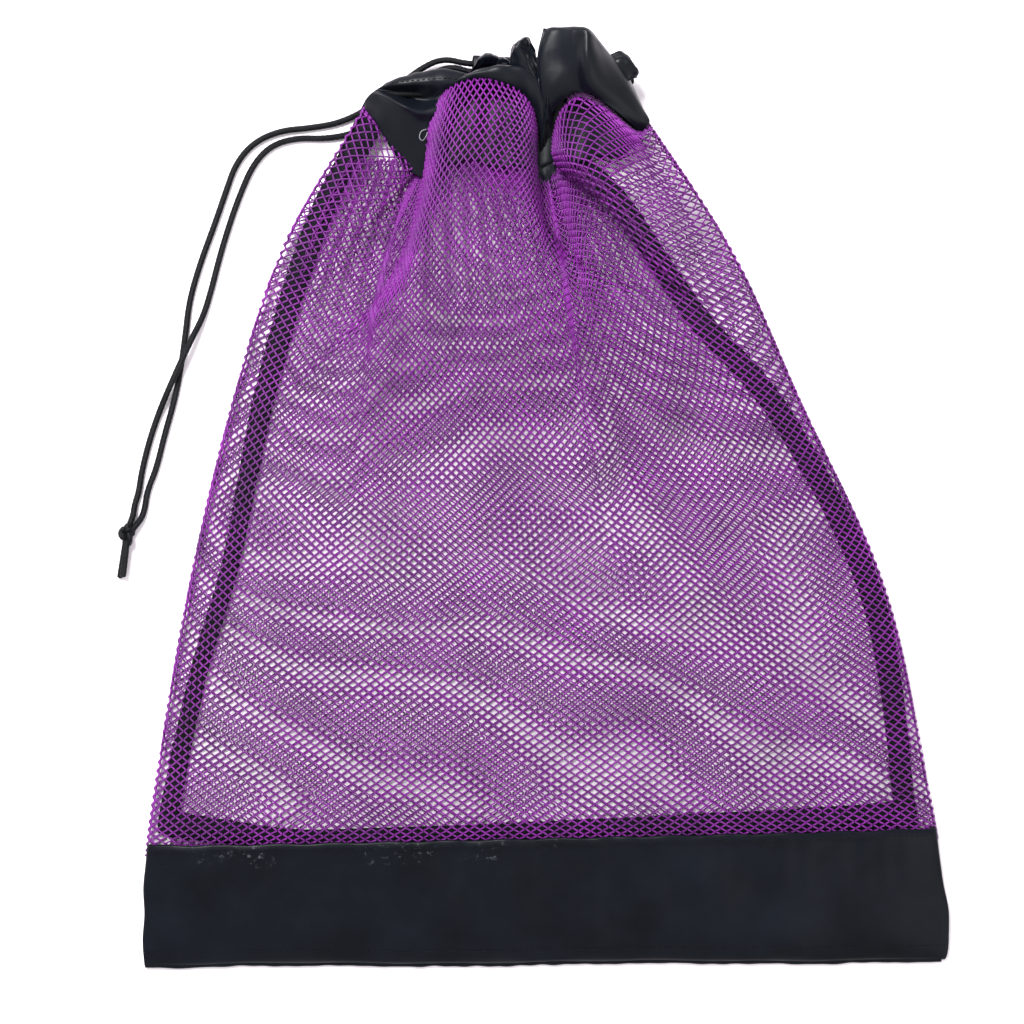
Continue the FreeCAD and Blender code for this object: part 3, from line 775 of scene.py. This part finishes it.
def evened(profile, reach):
    """Each row averaged with the rows above and below it by a bell that is reach rows wide."""
    offset = np.arange(-3 * reach, 3 * reach + 1)
    bell = np.exp(-0.5 * (offset / reach) ** 2)
    bell = bell / bell.sum()
    padded = np.pad(profile, ((3 * reach, 3 * reach), (0, 0)), mode="edge")
    return sum(part * padded[k:k + len(profile)] for k, part in enumerate(bell))


def net_lines(surface, count, seed, weight=1.0):
    """Zigzag strands over rows of points. Row by row, strand j sits at an even share of the row's
    length and swings to one side and the other by just under half the spacing, its neighbours the other
    way, so that they touch and pass over and under at every crossing. Where the weight is over 1 the
    strands lie closer. Returns the strands and the direction off the surface."""
    step = np.linalg.norm(np.diff(surface, axis=1), axis=2) * weight
    length = np.concatenate([np.zeros((len(surface), 1)), np.cumsum(step, axis=1)], axis=1)
    total = length[:, -1:]
    length = evened(length / total, 16) * total
    strand = np.arange(count)
    way = np.where(strand % 2, -1.0, 1.0)[None]
    swing = np.tile([-1.0, -1.0, 1.0, 1.0], len(surface) // 4)[:, None]
    row = np.arange(len(surface))[:, None]
    spacing = total / count
    reach = np.clip(0.5 - 0.80 * YARN_HALF_WIDTH / spacing, 0.12, 0.43)
    draw = np.random.default_rng(seed)
    uneven = draw.normal(0, 0.035, (len(surface), count))
    drift = ripple(strand[None] * 3.7, row * 1.3, seed, 120) * 0.30
    share = (strand[None] + 0.5 + drift + uneven + way * swing * reach) / count
    share = np.clip(share, 0.0005, 0.9995) * total
    middle = np.clip((strand[None] + 0.5 + drift) / count, 0.0005, 0.9995) * total
    line = np.stack([[np.interp(share[i], length[i], surface[i, :, k]) for i in range(len(surface))]
                     for k in range(3)], -1)
    base = np.stack([[np.interp(middle[i], length[i], surface[i, :, k]) for i in range(len(surface))]
                     for k in range(3)], -1)
    up = normals(base)
    line = line + up * (way * swing * 0.3)[..., None]
    return line.transpose(1, 0, 2), up.transpose(1, 0, 2)


def front_surface():
    """Rows of the front net, from under the band to the neck. A row's y is level up the bag, plus the
    neck line's shape growing with the fourth power of the way up; its x runs evenly between the two
    edges. The first rows are drawn close by the seam, and the last ones turn down at the neck. Returned
    with them is the strands' weight, which draws them together on the middle fold and thins them out
    underneath."""
    v = levels(FRONT_CELLS)[:, None]
    v = (v - SEAM_DRAW * SEAM_REACH * (1 - np.exp(-v / SEAM_REACH))) / (1 - SEAM_DRAW * SEAM_REACH)
    s = 0.5 - 0.5 * np.cos(np.linspace(0, np.pi, 1100))[None]
    start = band_top(NET_LEFT_END + NET_WIDTH * s) - UNDER_BAND
    climb = (v - NECK_SLOWED * np.maximum(v - NECK_TURN, 0)) / (1 - NECK_SLOWED * NECK_TURN_SHARE)
    level = start + climb * (NECK_LEVEL - start)
    place = NECK_LEFT + NECK_WIDTH * s
    neck = along(NECK, place)
    left, right = along(LEFT_EDGE, level), along(RIGHT_EDGE, level)
    x = left + (right - left) * s
    fold = ease((place + 92) / 40) * ease((20 - place) / 40)
    y = level + (neck - NECK_LEVEL) * climb ** 4
    z = front_height(x, y)
    z = z - np.clip(0.6 * (z - 5), 0, 13) * ease((v - 0.955) / 0.045)
    z = z - 1.7 * (1 - ease((y - band_top(x) + 1.0) / 5))
    top = np.stack([x, y, z], -1)
    top[:, 0, 2] = top[:, -1, 2] = back_level(level[:, 0]) + EDGE_ROUND
    rows = wrapped(top, along(LEFT_TAPE, top[:, 0, 1]), along(RIGHT_TAPE, top[:, -1, 1]))
    beyond = WRAP_BEND + WRAP_RUN - 2
    closer = np.pad(0.85 * fold * ease((v - 0.45) / 0.4), ((0, 0), (beyond, beyond)))
    under = np.pad(np.zeros_like(x), ((0, 0), (beyond, beyond)), constant_values=1.0)
    weight = 1 + closer - 0.35 * under * ease((v - 0.4) / 0.4)
    return drawn_in(rows), 0.5 * (weight[:, 1:] + weight[:, :-1])


def back_surface():
    """Rows of the back net between the seam tapes, flat on the floor and pleated towards the neck."""
    v = levels(BACK_CELLS)[:, None]
    s = np.linspace(0, 1, 900)[None]
    start = band_top(BACK_NET_LEFT_END + BACK_NET_WIDTH * s) - UNDER_BAND
    y = start + v * (BACK_NET_TOP - start)
    left, right = along(LEFT_TAPE, y), along(RIGHT_TAPE, y)
    x = left + (right - left) * s
    gathered = ease((y - 60) / 130)
    pleats = np.sin(2 * np.pi * (s * 19 + 0.25 * np.sin(9 * s) + 0.1 * v)) * 2.1 + 2.1
    z = back_level(y) + gathered * pleats + 0.25 + 0.25 * ripple(x, y, 9, 60)
    return np.stack([x, y, np.maximum(z, 1.2)], -1)


def net_piece(name, line, up, node_name, body=None):
    """Strands of one part of a net, each a flattened tube of four sides that stands on its edge."""
    narrow = YARN_HALF_WIDTH / YARN_HALF_HEIGHT
    piece = tubes(name, line, up, YARN_HALF_HEIGHT, 4, YARN, body, narrow=narrow)
    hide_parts(node_name)
    return piece


front_rows, front_weight = front_surface()
front_line, front_up = net_lines(front_rows, FRONT_STRANDS, 21, front_weight)
for name, first, last, bend in (("net_front_left_outer", 0, 37, LEFT_BEND),
                                ("net_front_left_inner", 37, 73, LEFT_BEND),
                                ("net_front_right_inner", 73, 109, RIGHT_BEND),
                                ("net_front_right_outer", 109, FRONT_STRANDS, RIGHT_BEND)):
    piece = net_piece(name, front_line[first:last], front_up[first:last], "front_mesh_panel")
    bend_with_front(piece)

back_line, back_up = net_lines(back_surface(), BACK_STRANDS, 22)
for name, first, last in (("net_back_left", 0, BACK_STRANDS // 2),
                          ("net_back_right", BACK_STRANDS // 2, BACK_STRANDS)):
    piece = net_piece(name, back_line[first:last], back_up[first:last], "back_mesh_panel", "root")


# --- Base band ---

# Side edges of the band, as (y, x)
BAND_LEFT = [(-265, -227.3), (-250, -228.2), (-235, -227.2), (-220, -227.8), (-205, -226.4), (-186, -224.6)]
BAND_RIGHT = [(-265, 224.5), (-258, 227.8), (-246, 228.6), (-232, 228.4), (-218, 225.6), (-204, 223.6),
              (-186, 221.4)]


def band_bottom(x):
    """Lower edge of the band, sloping up a little to the right, with a slow wave."""
    return BOTTOM + 1.2 + 0.007 * x + 0.5 * np.sin(x / 31.0) + 0.25 * np.sin(x / 9.3 + 1)


def band_creases(x, t):
    """Creases of the band: soft upright ones, puckers under the seam, and a few slanting folds."""
    upright = ripple(x, t * 40, 31, 44, 4.0) * 0.55
    pucker = ripple(x, t * 30, 32, 13, 5.0) * 0.16 * ease((t - 0.35) / 0.6)
    slanted = ripple(x + 60 * t, t * 80, 33, 52, 3.0) * 0.55
    return (upright + slanted) * ease(t / 0.12) * (1 - 0.55 * ease((t - 0.8) / 0.2)) + pucker


def band_front():
    """Front of the band: bottom edge to seam, its height the crown drawn down to the hem and rolled at
    the sides."""
    t = np.linspace(0, 1, 60)[:, None]
    s = 0.5 - 0.5 * np.cos(np.linspace(0, np.pi, 460))[None]
    guess = BAND_LEFT_END + BAND_WIDTH * s
    y = band_bottom(guess) + t * (band_top(guess) + 0.6 + 0.35 * np.sin(guess / 5.1) - band_bottom(guess))
    left, right = along(BAND_LEFT, y), along(BAND_RIGHT, y)
    x = left + (right - left) * s
    edge = back_level(y) + EDGE_ROUND
    full = edge + (along(CROWN, y) - edge) * np.sqrt(1 - np.abs(2 * s - 1) ** 5)
    closed = dome((y - band_bottom(guess)) / 26, 2.0)
    z = 2.2 + (full - 2.2) * closed + band_creases(x, t) * (1 - (2 * s - 1) ** 8)
    z = z + 0.7 * np.exp(-((t - 0.955) / 0.03) ** 2)
    top = np.stack(np.broadcast_arrays(x, y, np.maximum(z, 1.4)), -1)
    top[:, 0, 2] = top[:, -1, 2] = edge[:, 0] * closed[:, 0] + 1.4 * (1 - closed[:, 0])
    return top


def tuck_under(top):
    """The same rows with their ends rolled down to the back panel, a little way in."""
    turn = np.linspace(0, 1, 8)[1:]
    ends = []
    for side, inward in ((0, 1.0), (-1, -1.0)):
        end = top[:, side][:, None]
        drop = np.maximum(end[..., 2] - 1.05, 0.05)
        x = end[..., 0] + inward * drop * (1 - np.cos(turn * np.pi / 2))
        z = end[..., 2] - drop * np.sin(turn * np.pi / 2)
        ends.append(np.stack(np.broadcast_arrays(x, end[..., 1], z), -1))
    return np.concatenate([ends[0][:, ::-1], top, ends[1]], axis=1)


def band_back():
    """Back of the band, flat on the floor: rows from the hem to the seam, with a low uneven wave."""
    t = np.linspace(0, 1, 40)[:, None]
    s = np.linspace(0, 1, 240)[None]
    guess = BAND_LEFT_END + BAND_WIDTH * s
    y = band_bottom(guess) + 1.0 + t * (band_top(guess) - band_bottom(guess) - 1.0)
    x = along(BAND_LEFT, y) + 0.4 + (along(BAND_RIGHT, y) - along(BAND_LEFT, y) - 0.8) * s
    z = 0.78 + 0.16 * ripple(x, y, 36, 30, 3.0)
    return np.stack([x, y, np.clip(z, 0.55, 1.0)], -1)


def bottom_seam():
    """Rolled seam along the band's lower edge: a closed tube whose rings are ovals, cosine across the
    floor and sine up, that shift a little along it."""
    x = np.linspace(-227.0, 224.6, HEM_RINGS)
    line = np.stack([x, band_bottom(x) + 0.6, 1.85 + 0.12 * np.sin(x / 6.0)], -1)
    a = np.linspace(0, 2 * np.pi, HEM_SIDES + 1)[:-1]
    ring = np.stack([np.broadcast_to(line[:, None, 0], (HEM_RINGS, HEM_SIDES)),
                     line[:, None, 1] + 1.9 * np.cos(a)[None] + 0.2 * ripple(x, 0 * x, 37, 12)[:, None],
                     line[:, None, 2] + 1.35 * np.sin(a)[None]], -1)
    index = np.arange(HEM_RINGS * HEM_SIDES).reshape(HEM_RINGS, HEM_SIDES)
    after = np.roll(index, -1, axis=1)
    wall = np.stack([index[:-1], index[1:], after[1:], after[:-1]], -1).reshape(-1, 4)
    caps = [[end[0], end[j], end[j + 1], end[j + 2]][::way]
            for end, way in ((index[0], 1), (index[-1], -1)) for j in range(1, HEM_SIDES - 1, 2)]
    faces = np.concatenate([wall, caps])
    points = ring.reshape(-1, 3)
    uv = np.stack([points[:, 0], np.tile(a, HEM_RINGS) * 1.6], -1)[faces.ravel()] * MM
    return make("band_bottom_seam", points, faces, uv, BAND, "root")


band_grid = band_front()
band = cloth("band_front_panel", tuck_under(band_grid), NYLON, BAND, "root")
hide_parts("base_panel_front")

back_panel = cloth("band_back_panel", band_back(), NYLON, BAND, "root")
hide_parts("base_panel_back")

band_hem = bottom_seam()
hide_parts("base_bottom_seam")

for name, row, node_name in (("stitches_under_net_seam", -4, "base_top_stitching"),
                             ("stitches_at_hem", 7, "base_hem_stitching")):
    up = upward(normals(band_grid)[row][6:-6])
    piece = stitches(name, band_grid[row][6:-6], up, 3.3, 2.5, 0.24, THREAD, "root")
    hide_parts(node_name)


# --- Seam tapes inside ---

def strip(points, widths, height, count, seed):
    """Flat tape along a line of (y, x) points: each row steps across it by its width, its height given
    by y."""
    line = refine(np.array(points, float)[:, ::-1], count)
    across = unit(np.stack([np.gradient(line[:, 1]), -np.gradient(line[:, 0])], -1))
    s = np.linspace(-0.5, 0.5, 13)
    width = np.interp(np.linspace(0, 1, count), np.linspace(0, 1, len(widths)), widths)
    flat = line[:, None] + across[:, None] * (s[None, :, None] * width[:, None, None])
    wave = ripple(flat[..., 0], flat[..., 1], seed, 24) * 0.35 + 0.35 * np.cos(2 * np.pi * s)[None]
    return np.stack([flat[..., 0], flat[..., 1], height(flat[..., 1]) + wave], -1)


def tape_level(y):
    """Height of the tapes' upper face, on the back net."""
    return back_level(y) + YARN_HALF_HEIGHT + 0.4 + TAPE


for name, node_name, route, widths in (
        ("tape_left", "left_seam_tape", [(-190, -213.6)] + LEFT_TAPE, (11, 11, 10, 10, 12, 13, 15, 17)),
        ("tape_right", "right_seam_tape", [(-187, 206)] + RIGHT_TAPE, (11, 12, 13, 13, 13, 12, 11))):
    grid = strip(route, widths, tape_level, 260, 41)
    piece = cloth(name, grid, TAPE, BINDING, "root")
    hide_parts(node_name)
BASE_TAPE = [(-184, -213), (-188.5, -178), (-193, -140), (-192, -80), (-190, -14), (-187, 60),
             (-184.5, 119), (-182, 170), (-180, 199)]
grid = strip(BASE_TAPE, (15, 13, 12, 13, 14, 15, 16, 17, 18), tape_level, 300, 42)
inner_tape = cloth("tape_along_base", grid, TAPE, BINDING, "root")
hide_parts("base_inner_tape")


# --- Casing ---

def patch(rows, count_up, count_across):
    """Smooth grid through a small grid of given points: Catmull-Rom curves one way, then the other.
    other."""
    grid = refine(np.array(rows, float), count_up)
    return drawn_in(refine(grid.transpose(1, 0, 2), count_across).transpose(1, 0, 2))


def creased(grid, seed, depth, size, stretch=1.0):
    """The grid moved along its normals by uneven waves that fade at its rim."""
    rows, columns = grid.shape[:2]
    v, u = np.meshgrid(np.linspace(0, 1, rows), np.linspace(0, 1, columns), indexing="ij")
    across = np.linalg.norm(np.diff(grid, axis=1), axis=2).sum(axis=1).mean()
    up = np.linalg.norm(np.diff(grid, axis=0), axis=2).sum(axis=0).mean()
    wave = ripple(u * across, v * up, seed, size, stretch)
    rim = ease(np.minimum(np.minimum(u, 1 - u), np.minimum(v, 1 - v)) / 0.06)
    return grid + normals(grid) * (wave * depth * rim)[..., None]


# Folds of the front casing: each row of points runs across the fold, from the net's edge to the inside
left_petal = creased(patch([
    [(-102.0, 220.5, 13), (-95, 211, 15), (-88, 199, 15), (-80.5, 189, 14), (-71, 182, 13), (-59, 181, 12)],
    [(-101.6, 225.0, 18), (-92, 218, 21), (-83, 207, 20), (-76, 199, 18), (-67, 193, 17), (-57, 192, 16)],
    [(-99.5, 228.0, 21), (-90, 224.5, 26), (-80, 218, 28), (-72, 213, 25), (-64, 210, 22), (-56, 208, 20)],
    [(-97.8, 229.5, 22), (-89, 227.0, 28), (-79, 222.0, 31), (-71, 219, 30), (-62, 219, 28),
     (-54, 220, 26)],
    [(-95.0, 231.5, 21), (-86.5, 230.0, 21), (-77.5, 227.0, 19), (-68, 225.5, 20), (-59, 227, 24),
     (-51, 229, 25)],
    [(-92.0, 233.4, 22), (-84, 234.0, 27), (-75, 234.4, 29), (-65.5, 235, 30), (-56, 235.5, 30),
     (-46, 235, 28)],
    [(-89.5, 235.4, 22), (-82, 238.4, 25), (-73.5, 240.4, 26), (-65, 242.0, 27), (-55.5, 242.8, 27),
     (-43.5, 239.8, 27)],
    [(-89.5, 234.5, 19), (-82, 236.0, 20), (-73.5, 237.0, 21), (-65, 238.0, 22), (-55.5, 238, 22),
     (-43.5, 236.0, 23)],
    [(-92.0, 228.5, 17), (-84, 227.0, 16), (-75, 225.0, 16), (-66, 224.0, 16), (-56, 224, 17),
     (-45, 224.0, 18)],
], 120, 130), 51, 0.22, 12, 2.0)
middle_lip = creased(patch([
    [(-64, 224, 19), (-52, 229, 21), (-40, 231, 22), (-26, 230, 22), (-13, 225, 20), (-5, 212, 17),
     (-3, 196, 13)],
    [(-62, 228, 24), (-51, 233, 27), (-40, 236, 29), (-26, 234.5, 29), (-12, 229, 26), (-4, 217, 22),
     (-2, 200, 16)],
    [(-57, 233, 27), (-48, 237, 30), (-38.5, 240, 32), (-26, 239.5, 32), (-12.5, 236, 30),
     (-3.5, 225, 26), (-0.5, 208, 20)],
    [(-50, 237, 27), (-44, 240, 30), (-37.5, 242.2, 31), (-27, 244.0, 32), (-13.5, 243.2, 31),
     (-4.5, 236, 28), (0.5, 217, 24)],
    [(-47, 237, 24), (-42, 240, 26), (-36.0, 242.6, 27), (-27, 244.4, 28), (-15, 243.4, 27),
     (-6.0, 237, 25), (-1, 220, 20)],
    [(-47, 233, 20), (-42, 235, 22), (-36.0, 236.0, 22), (-27, 237.0, 22), (-15, 237.0, 22),
     (-6.0, 232, 20), (-1, 218, 16)],
], 80, 140), 52, 0.22, 12, 4.0)
rolled_loop = creased(patch([
    [(-42, 240, 17), (-39.5, 243, 21), (-36, 245, 23), (-31, 246, 23), (-27, 245, 22), (-25, 242, 18)],
    [(-42, 242, 20), (-38.5, 247, 25), (-35, 250, 27), (-31, 250.6, 27), (-27, 249, 25), (-24, 244, 20)],
    [(-41, 243, 17), (-37.5, 249.2, 20), (-33.5, 251.8, 21), (-29.5, 251.0, 21), (-26, 249, 20),
     (-23.5, 245, 16)],
    [(-41, 240, 13), (-37, 246.0, 14), (-33.0, 248.5, 15), (-29.0, 248.0, 15), (-26, 246, 14),
     (-23.5, 243, 12)],
], 50, 60), 53, 0.25, 6)
small_loop = creased(patch([
    [(-29, 241, 20), (-28, 244, 23), (-25.5, 246, 25), (-22, 246, 25), (-20, 244, 23), (-19, 240, 20)],
    [(-28.5, 243, 20), (-27.2, 247, 24), (-25, 249, 26), (-22.4, 248.6, 26), (-20.6, 246, 24),
     (-19.6, 242, 20)],
    [(-28, 242, 15), (-26.6, 247.6, 18), (-24.6, 249.6, 19), (-22.6, 249.0, 19), (-21.2, 246, 18),
     (-20.6, 242, 15)],
], 36, 46), 54, 0.2, 5)
leaf_fold = creased(patch([
    [(-19, 236, 19), (-16, 238, 22), (-11, 237, 24), (-6.5, 234, 23), (-3.5, 228, 20)],
    [(-20, 245.6, 24), (-16.5, 246.5, 29), (-12, 246, 30), (-7.5, 244, 27), (-4.2, 240, 23)],
    [(-19.8, 252.5, 27), (-16.8, 254.8, 33), (-12.4, 255.0, 31), (-8.6, 252, 27), (-5.0, 247, 24)],
    [(-18.6, 256.2, 27), (-15.2, 258.4, 32), (-11.4, 260.4, 31), (-8.4, 258.2, 27), (-5.4, 251.5, 24)],
    [(-18.6, 255.6, 23), (-15.2, 257.8, 26), (-11.2, 259.6, 26), (-8.4, 257.4, 23), (-5.6, 250.5, 20)],
    [(-19, 246.0, 18), (-15.6, 247.8, 20), (-11.6, 248.6, 20), (-8.8, 247.4, 18), (-6.0, 241.5, 16)],
], 70, 60), 55, 0.4, 7)
pleats = creased(patch([
    [(-12, 222, 18), (-9, 224, 22), (-6.5, 222, 20), (-4, 222, 24), (-1.5, 217, 21), (1.0, 214, 24),
     (4, 209, 18)],
    [(-12, 230, 20), (-9, 231, 25), (-6.5, 229, 21), (-4, 230, 27), (-1.5, 226, 23), (1.0, 224, 27),
     (4, 219, 20)],
    [(-11, 237, 22), (-8.6, 239, 27), (-6.0, 236, 23), (-3.8, 238, 28), (-1.0, 233, 24), (1.0, 232, 28),
     (4, 228, 21)],
    [(-10, 241, 18), (-8.0, 242, 21), (-6.0, 240, 18), (-3.8, 241, 22), (-1.0, 236, 19), (1.0, 235, 22),
     (4, 231, 17)],
], 60, 90), 56, 0.3, 5, 2.0)
right_petal = creased(patch([
    [(-1.5, 208, 16), (5.5, 220.0, 22), (13, 227.6, 28), (19, 229.6, 30), (25.5, 228.4, 32),
     (36, 221.8, 29), (46.5, 213.6, 23), (54.0, 206.8, 14)],
    [(-3.0, 216, 21), (4.0, 226.0, 27), (11.5, 232.5, 31), (18, 234.6, 33), (24.5, 234.4, 38),
     (37, 228.0, 32), (49, 220.0, 25), (57.5, 210.6, 16)],
    [(-4.0, 226, 24), (2.5, 233.0, 30), (10.5, 240.0, 33), (17, 242.0, 36), (24.0, 242.6, 42),
     (36.5, 236.6, 34), (48, 228.0, 26), (58.6, 214.2, 17)],
    [(-5.0, 240, 27), (1.5, 244.0, 31), (9.5, 249.0, 34), (16, 251.0, 38), (23.6, 252.0, 44),
     (34.0, 246.6, 36), (45, 236.6, 27), (55.0, 221.0, 18)],
    [(-4.4, 252, 29), (1.5, 254.0, 32), (9.0, 257.0, 35), (16, 258.6, 39), (23.6, 260.0, 44),
     (30.5, 255.8, 37), (39.6, 246.6, 28), (50.5, 231.0, 19)],
    [(-1.6, 264.4, 29), (4.0, 264.8, 32), (10.0, 265.2, 35), (16.6, 265.4, 39), (23.6, 265.2, 43),
     (29.6, 258.6, 36), (37.0, 250.2, 28), (48.0, 236.4, 19)],
    [(-1.4, 264.6, 25), (4.0, 265.0, 28), (10.0, 265.4, 31), (16.6, 265.6, 34), (23.4, 265.4, 38),
     (29.8, 258.4, 31), (37.2, 249.8, 24), (48.2, 235.6, 16)],
    [(-3.0, 254.0, 20), (3.0, 254.5, 23), (9.0, 255.0, 26), (15.6, 255.4, 28), (22.4, 255.4, 31),
     (28.8, 249.0, 26), (36.0, 241.5, 20), (46.5, 228.5, 13)],
], 130, 150), 57, 0.4, 16, 2.0)
valley = creased(patch([
    [(-9, 176, 9.5), (-4, 174, 10), (1, 174, 10), (6, 177, 10), (12, 184, 10)],
    [(-9, 186, 12), (-4, 183, 11), (1, 183, 11), (6, 187, 11), (12, 192, 11)],
    [(-9, 204, 16), (-4, 201, 13), (1, 201, 13), (6, 205, 14), (12, 207, 15)],
    [(-9, 222, 20), (-4, 219, 16), (1, 219, 16), (6, 222, 18), (12, 222, 19)],
    [(-9, 233, 20), (-4, 231, 18), (1, 230, 18), (6, 233, 19), (12, 232, 19)],
], 70, 50), 58, 0.5, 7, 2.0)

for name, grid, bend, node_name, cut in (
        ("casing_left_petal", left_petal, LEFT_BEND, "casing_front_left", (0.062, 0.075)),
        ("casing_middle_lip", middle_lip, LEFT_BEND, "casing_front_middle", (0.064, 0.036)),
        ("casing_rolled_loop", rolled_loop, None, None, (0.028, 0.016)),
        ("casing_small_loop", small_loop, None, None, (0.018, 0.011)),
        ("casing_leaf_fold", leaf_fold, None, None, (0.024, 0.040)),
        ("casing_pleats", pleats, None, None, (0.035, 0.028)),
        ("casing_right_petal", right_petal, RIGHT_BEND, "casing_front_right", (0.075, 0.065)),
        ("casing_valley", valley, None, None, (0.024, 0.060))):
    piece = cloth(name, grid, NYLON, CASING, None if bend else "front_panel")
    if bend:
        bend_with_front(piece)
    if node_name:
        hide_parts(node_name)

# Where the back casing is sewn to the net, and its upper edge, as (x, y)
CASING_SEAM = [(-96, 209), (-86, 203), (-76, 190), (-40, 190), (-20, 186), (10, 190), (36, 193), (55, 200)]
CASING_EDGE = [(-96, 221), (-74, 231), (-50, 233.5), (-20, 235), (0, 236), (10, 244), (22, 247), (36, 241),
               (46, 232), (55, 215)]


def back_half():
    """Back half of the casing, a flattened sleeve: from the seam to the edge and back to the seam, the
    two runs joined by a half circle."""
    x = np.linspace(-96, 55, 150)
    seam = along(CASING_SEAM, x) + 1.2 * np.sin(x / 3.7)
    edge = along(CASING_EDGE, x)
    t = np.linspace(0, 1, 70)
    turn = np.clip((t - 0.42) / 0.16, 0, 1) * np.pi
    run = np.where(t < 0.42, t / 0.42, np.where(t > 0.58, (1 - t) / 0.42, 1.0))
    y = seam[None] + run[:, None] * (edge - seam)[None] + 3.0 * np.sin(turn)[:, None]
    z = 9.4 - 2.9 * np.cos(turn)[:, None] + 0.3 * ripple(x[None], y, 61, 14, 2.5)
    return np.stack([np.broadcast_to(x[None], y.shape), y, z], -1)


def exit_sleeve():
    """Sleeve that the free ends leave by: rings with flattened cosines and sines, wider towards the
    mouth."""
    u = np.linspace(-41, -1.5, 60)[:, None]
    a = np.linspace(0, 2 * np.pi, 61)[None, :]
    wide = 6.75 + 0.3 * np.sin(3 * a + u / 6) + 0.9 * ease((-31 - u) / 9)
    high = 3.6 + 0.12 * np.sin(2 * a + u / 5)
    return np.stack([u + 0.6 * np.sin(a), 242.9 + wide * squared_off(np.cos(a), 0.7),
                     9.2 + high * squared_off(np.sin(a), 0.7)], -1)


for name, grid, node_name, cut in (("casing_back_half", back_half(), "casing_back", (0.151, 0.082)),
                                   ("cord_sleeve", exit_sleeve(), "cord_exit_sleeve", (0.034, 0.040))):
    piece = cloth(name, grid, NYLON, CASING, "root")
    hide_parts(node_name)

# Bar of stitches over the sleeve: a square zigzag on a shallow bow
t = np.linspace(0, 1, 90)
zigzag = np.stack([-38.8 + 0.8 * squared_off(np.sin(60 * t), 0.5), 239.4 + 7.0 * t,
                   13.15 - 1.1 * (2 * t - 1) ** 4], -1)
bar = tubes("stitches_bar_at_sleeve", zigzag[None], straight_up(zigzag), 0.3, 6, THREAD, "root")
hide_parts("exit_bartack")

# Folded end of the casing strip, by the right petal
tab_rows = patch([
    [(33, 247, 19), (37, 250, 20), (41, 252, 20), (44, 251, 19)],
    [(37, 243, 21), (41, 246, 23), (45.5, 248, 23), (48, 246.5, 21)],
    [(41, 238, 21), (45, 240, 22), (49.6, 242.6, 22), (51.4, 241, 20)],
    [(43, 235, 18), (46.5, 236.6, 19), (49.6, 238.4, 19), (50.6, 238.4, 17)],
], 40, 34)
tab = cloth("casing_end_tab_fold", creased(tab_rows, 62, 0.3, 6), TAB_THICKNESS, CASING)
bend_with_front(tab)
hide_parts("casing_end_tab")

# Stitches along the left petal's hem and on the tab
petal_up = normals(left_petal)[PETAL_HEM_ROW, 12:-4]
hem_stitches = stitches("stitches_left_petal_hem", left_petal[PETAL_HEM_ROW, 12:-4], upward(petal_up),
                        3.0, 2.2, STITCH_RADIUS, THREAD)
bend_with_front(hem_stitches)
tab_up = normals(tab_rows)[8:-6, 22]
tab_stitches = stitches("stitches_on_tab", tab_rows[8:-6, 22], upward(tab_up),
                        2.8, 2.0, STITCH_RADIUS, THREAD)
bend_with_front(tab_stitches)

# Loose loop of thread at the foot of the left petal
loop = refine([(-66.5, 207, 22), (-69.5, 205.6, 23), (-70.6, 202.4, 22.5), (-69.0, 200.6, 22),
               (-67.2, 202.6, 21.5), (-66.0, 205.4, 21.5)], 80)
loop_piece = tubes("loose_thread_loop", loop[None], straight_up(loop), 0.28, 8, GREY_THREAD)
bend_with_front(loop_piece)


# --- Floor and light ---

floor_mesh = bpy.data.meshes.new("floor")
floor_mesh.from_pydata([(-6, -6, 0), (6, -6, 0), (6, 6, 0), (-6, 6, 0)], [], [(0, 1, 2, 3)])
floor = bpy.data.objects.new("floor", floor_mesh)
scene.collection.objects.link(floor)
floor_finish, tree, shader = finish_of("pale_floor", 0.85, 0.2)
shader.inputs["Base Color"].default_value = (0.93, 0.87, 0.92, 1)
floor_mesh.materials.append(floor_finish)


def soft_light(name, place, size, power):
    """Large square light at a place, turned to the middle of the floor."""
    lamp = bpy.data.lights.new(name, "AREA")
    lamp.shape = "SQUARE"
    lamp.size = size
    lamp.energy = power
    holder = bpy.data.objects.new(name, lamp)
    holder.location = place
    holder.rotation_euler = (-Vector(place)).to_track_quat("-Z", "Y").to_euler()
    scene.collection.objects.link(holder)


soft_light("key", (-0.7, 1.1, 1.7), 0.7, 85.0)
soft_light("fill", (1.4, -0.8, 1.6), 1.6, 12.0)
world = bpy.data.worlds.new("studio") if scene.world is None else scene.world
scene.world = world
world.use_nodes = True
sky = world.node_tree.nodes["Background"]
sky.inputs["Color"].default_value = (1.0, 1.0, 1.0, 1)
sky.inputs["Strength"].default_value = 0.95
scene.view_settings.view_transform = "Standard"
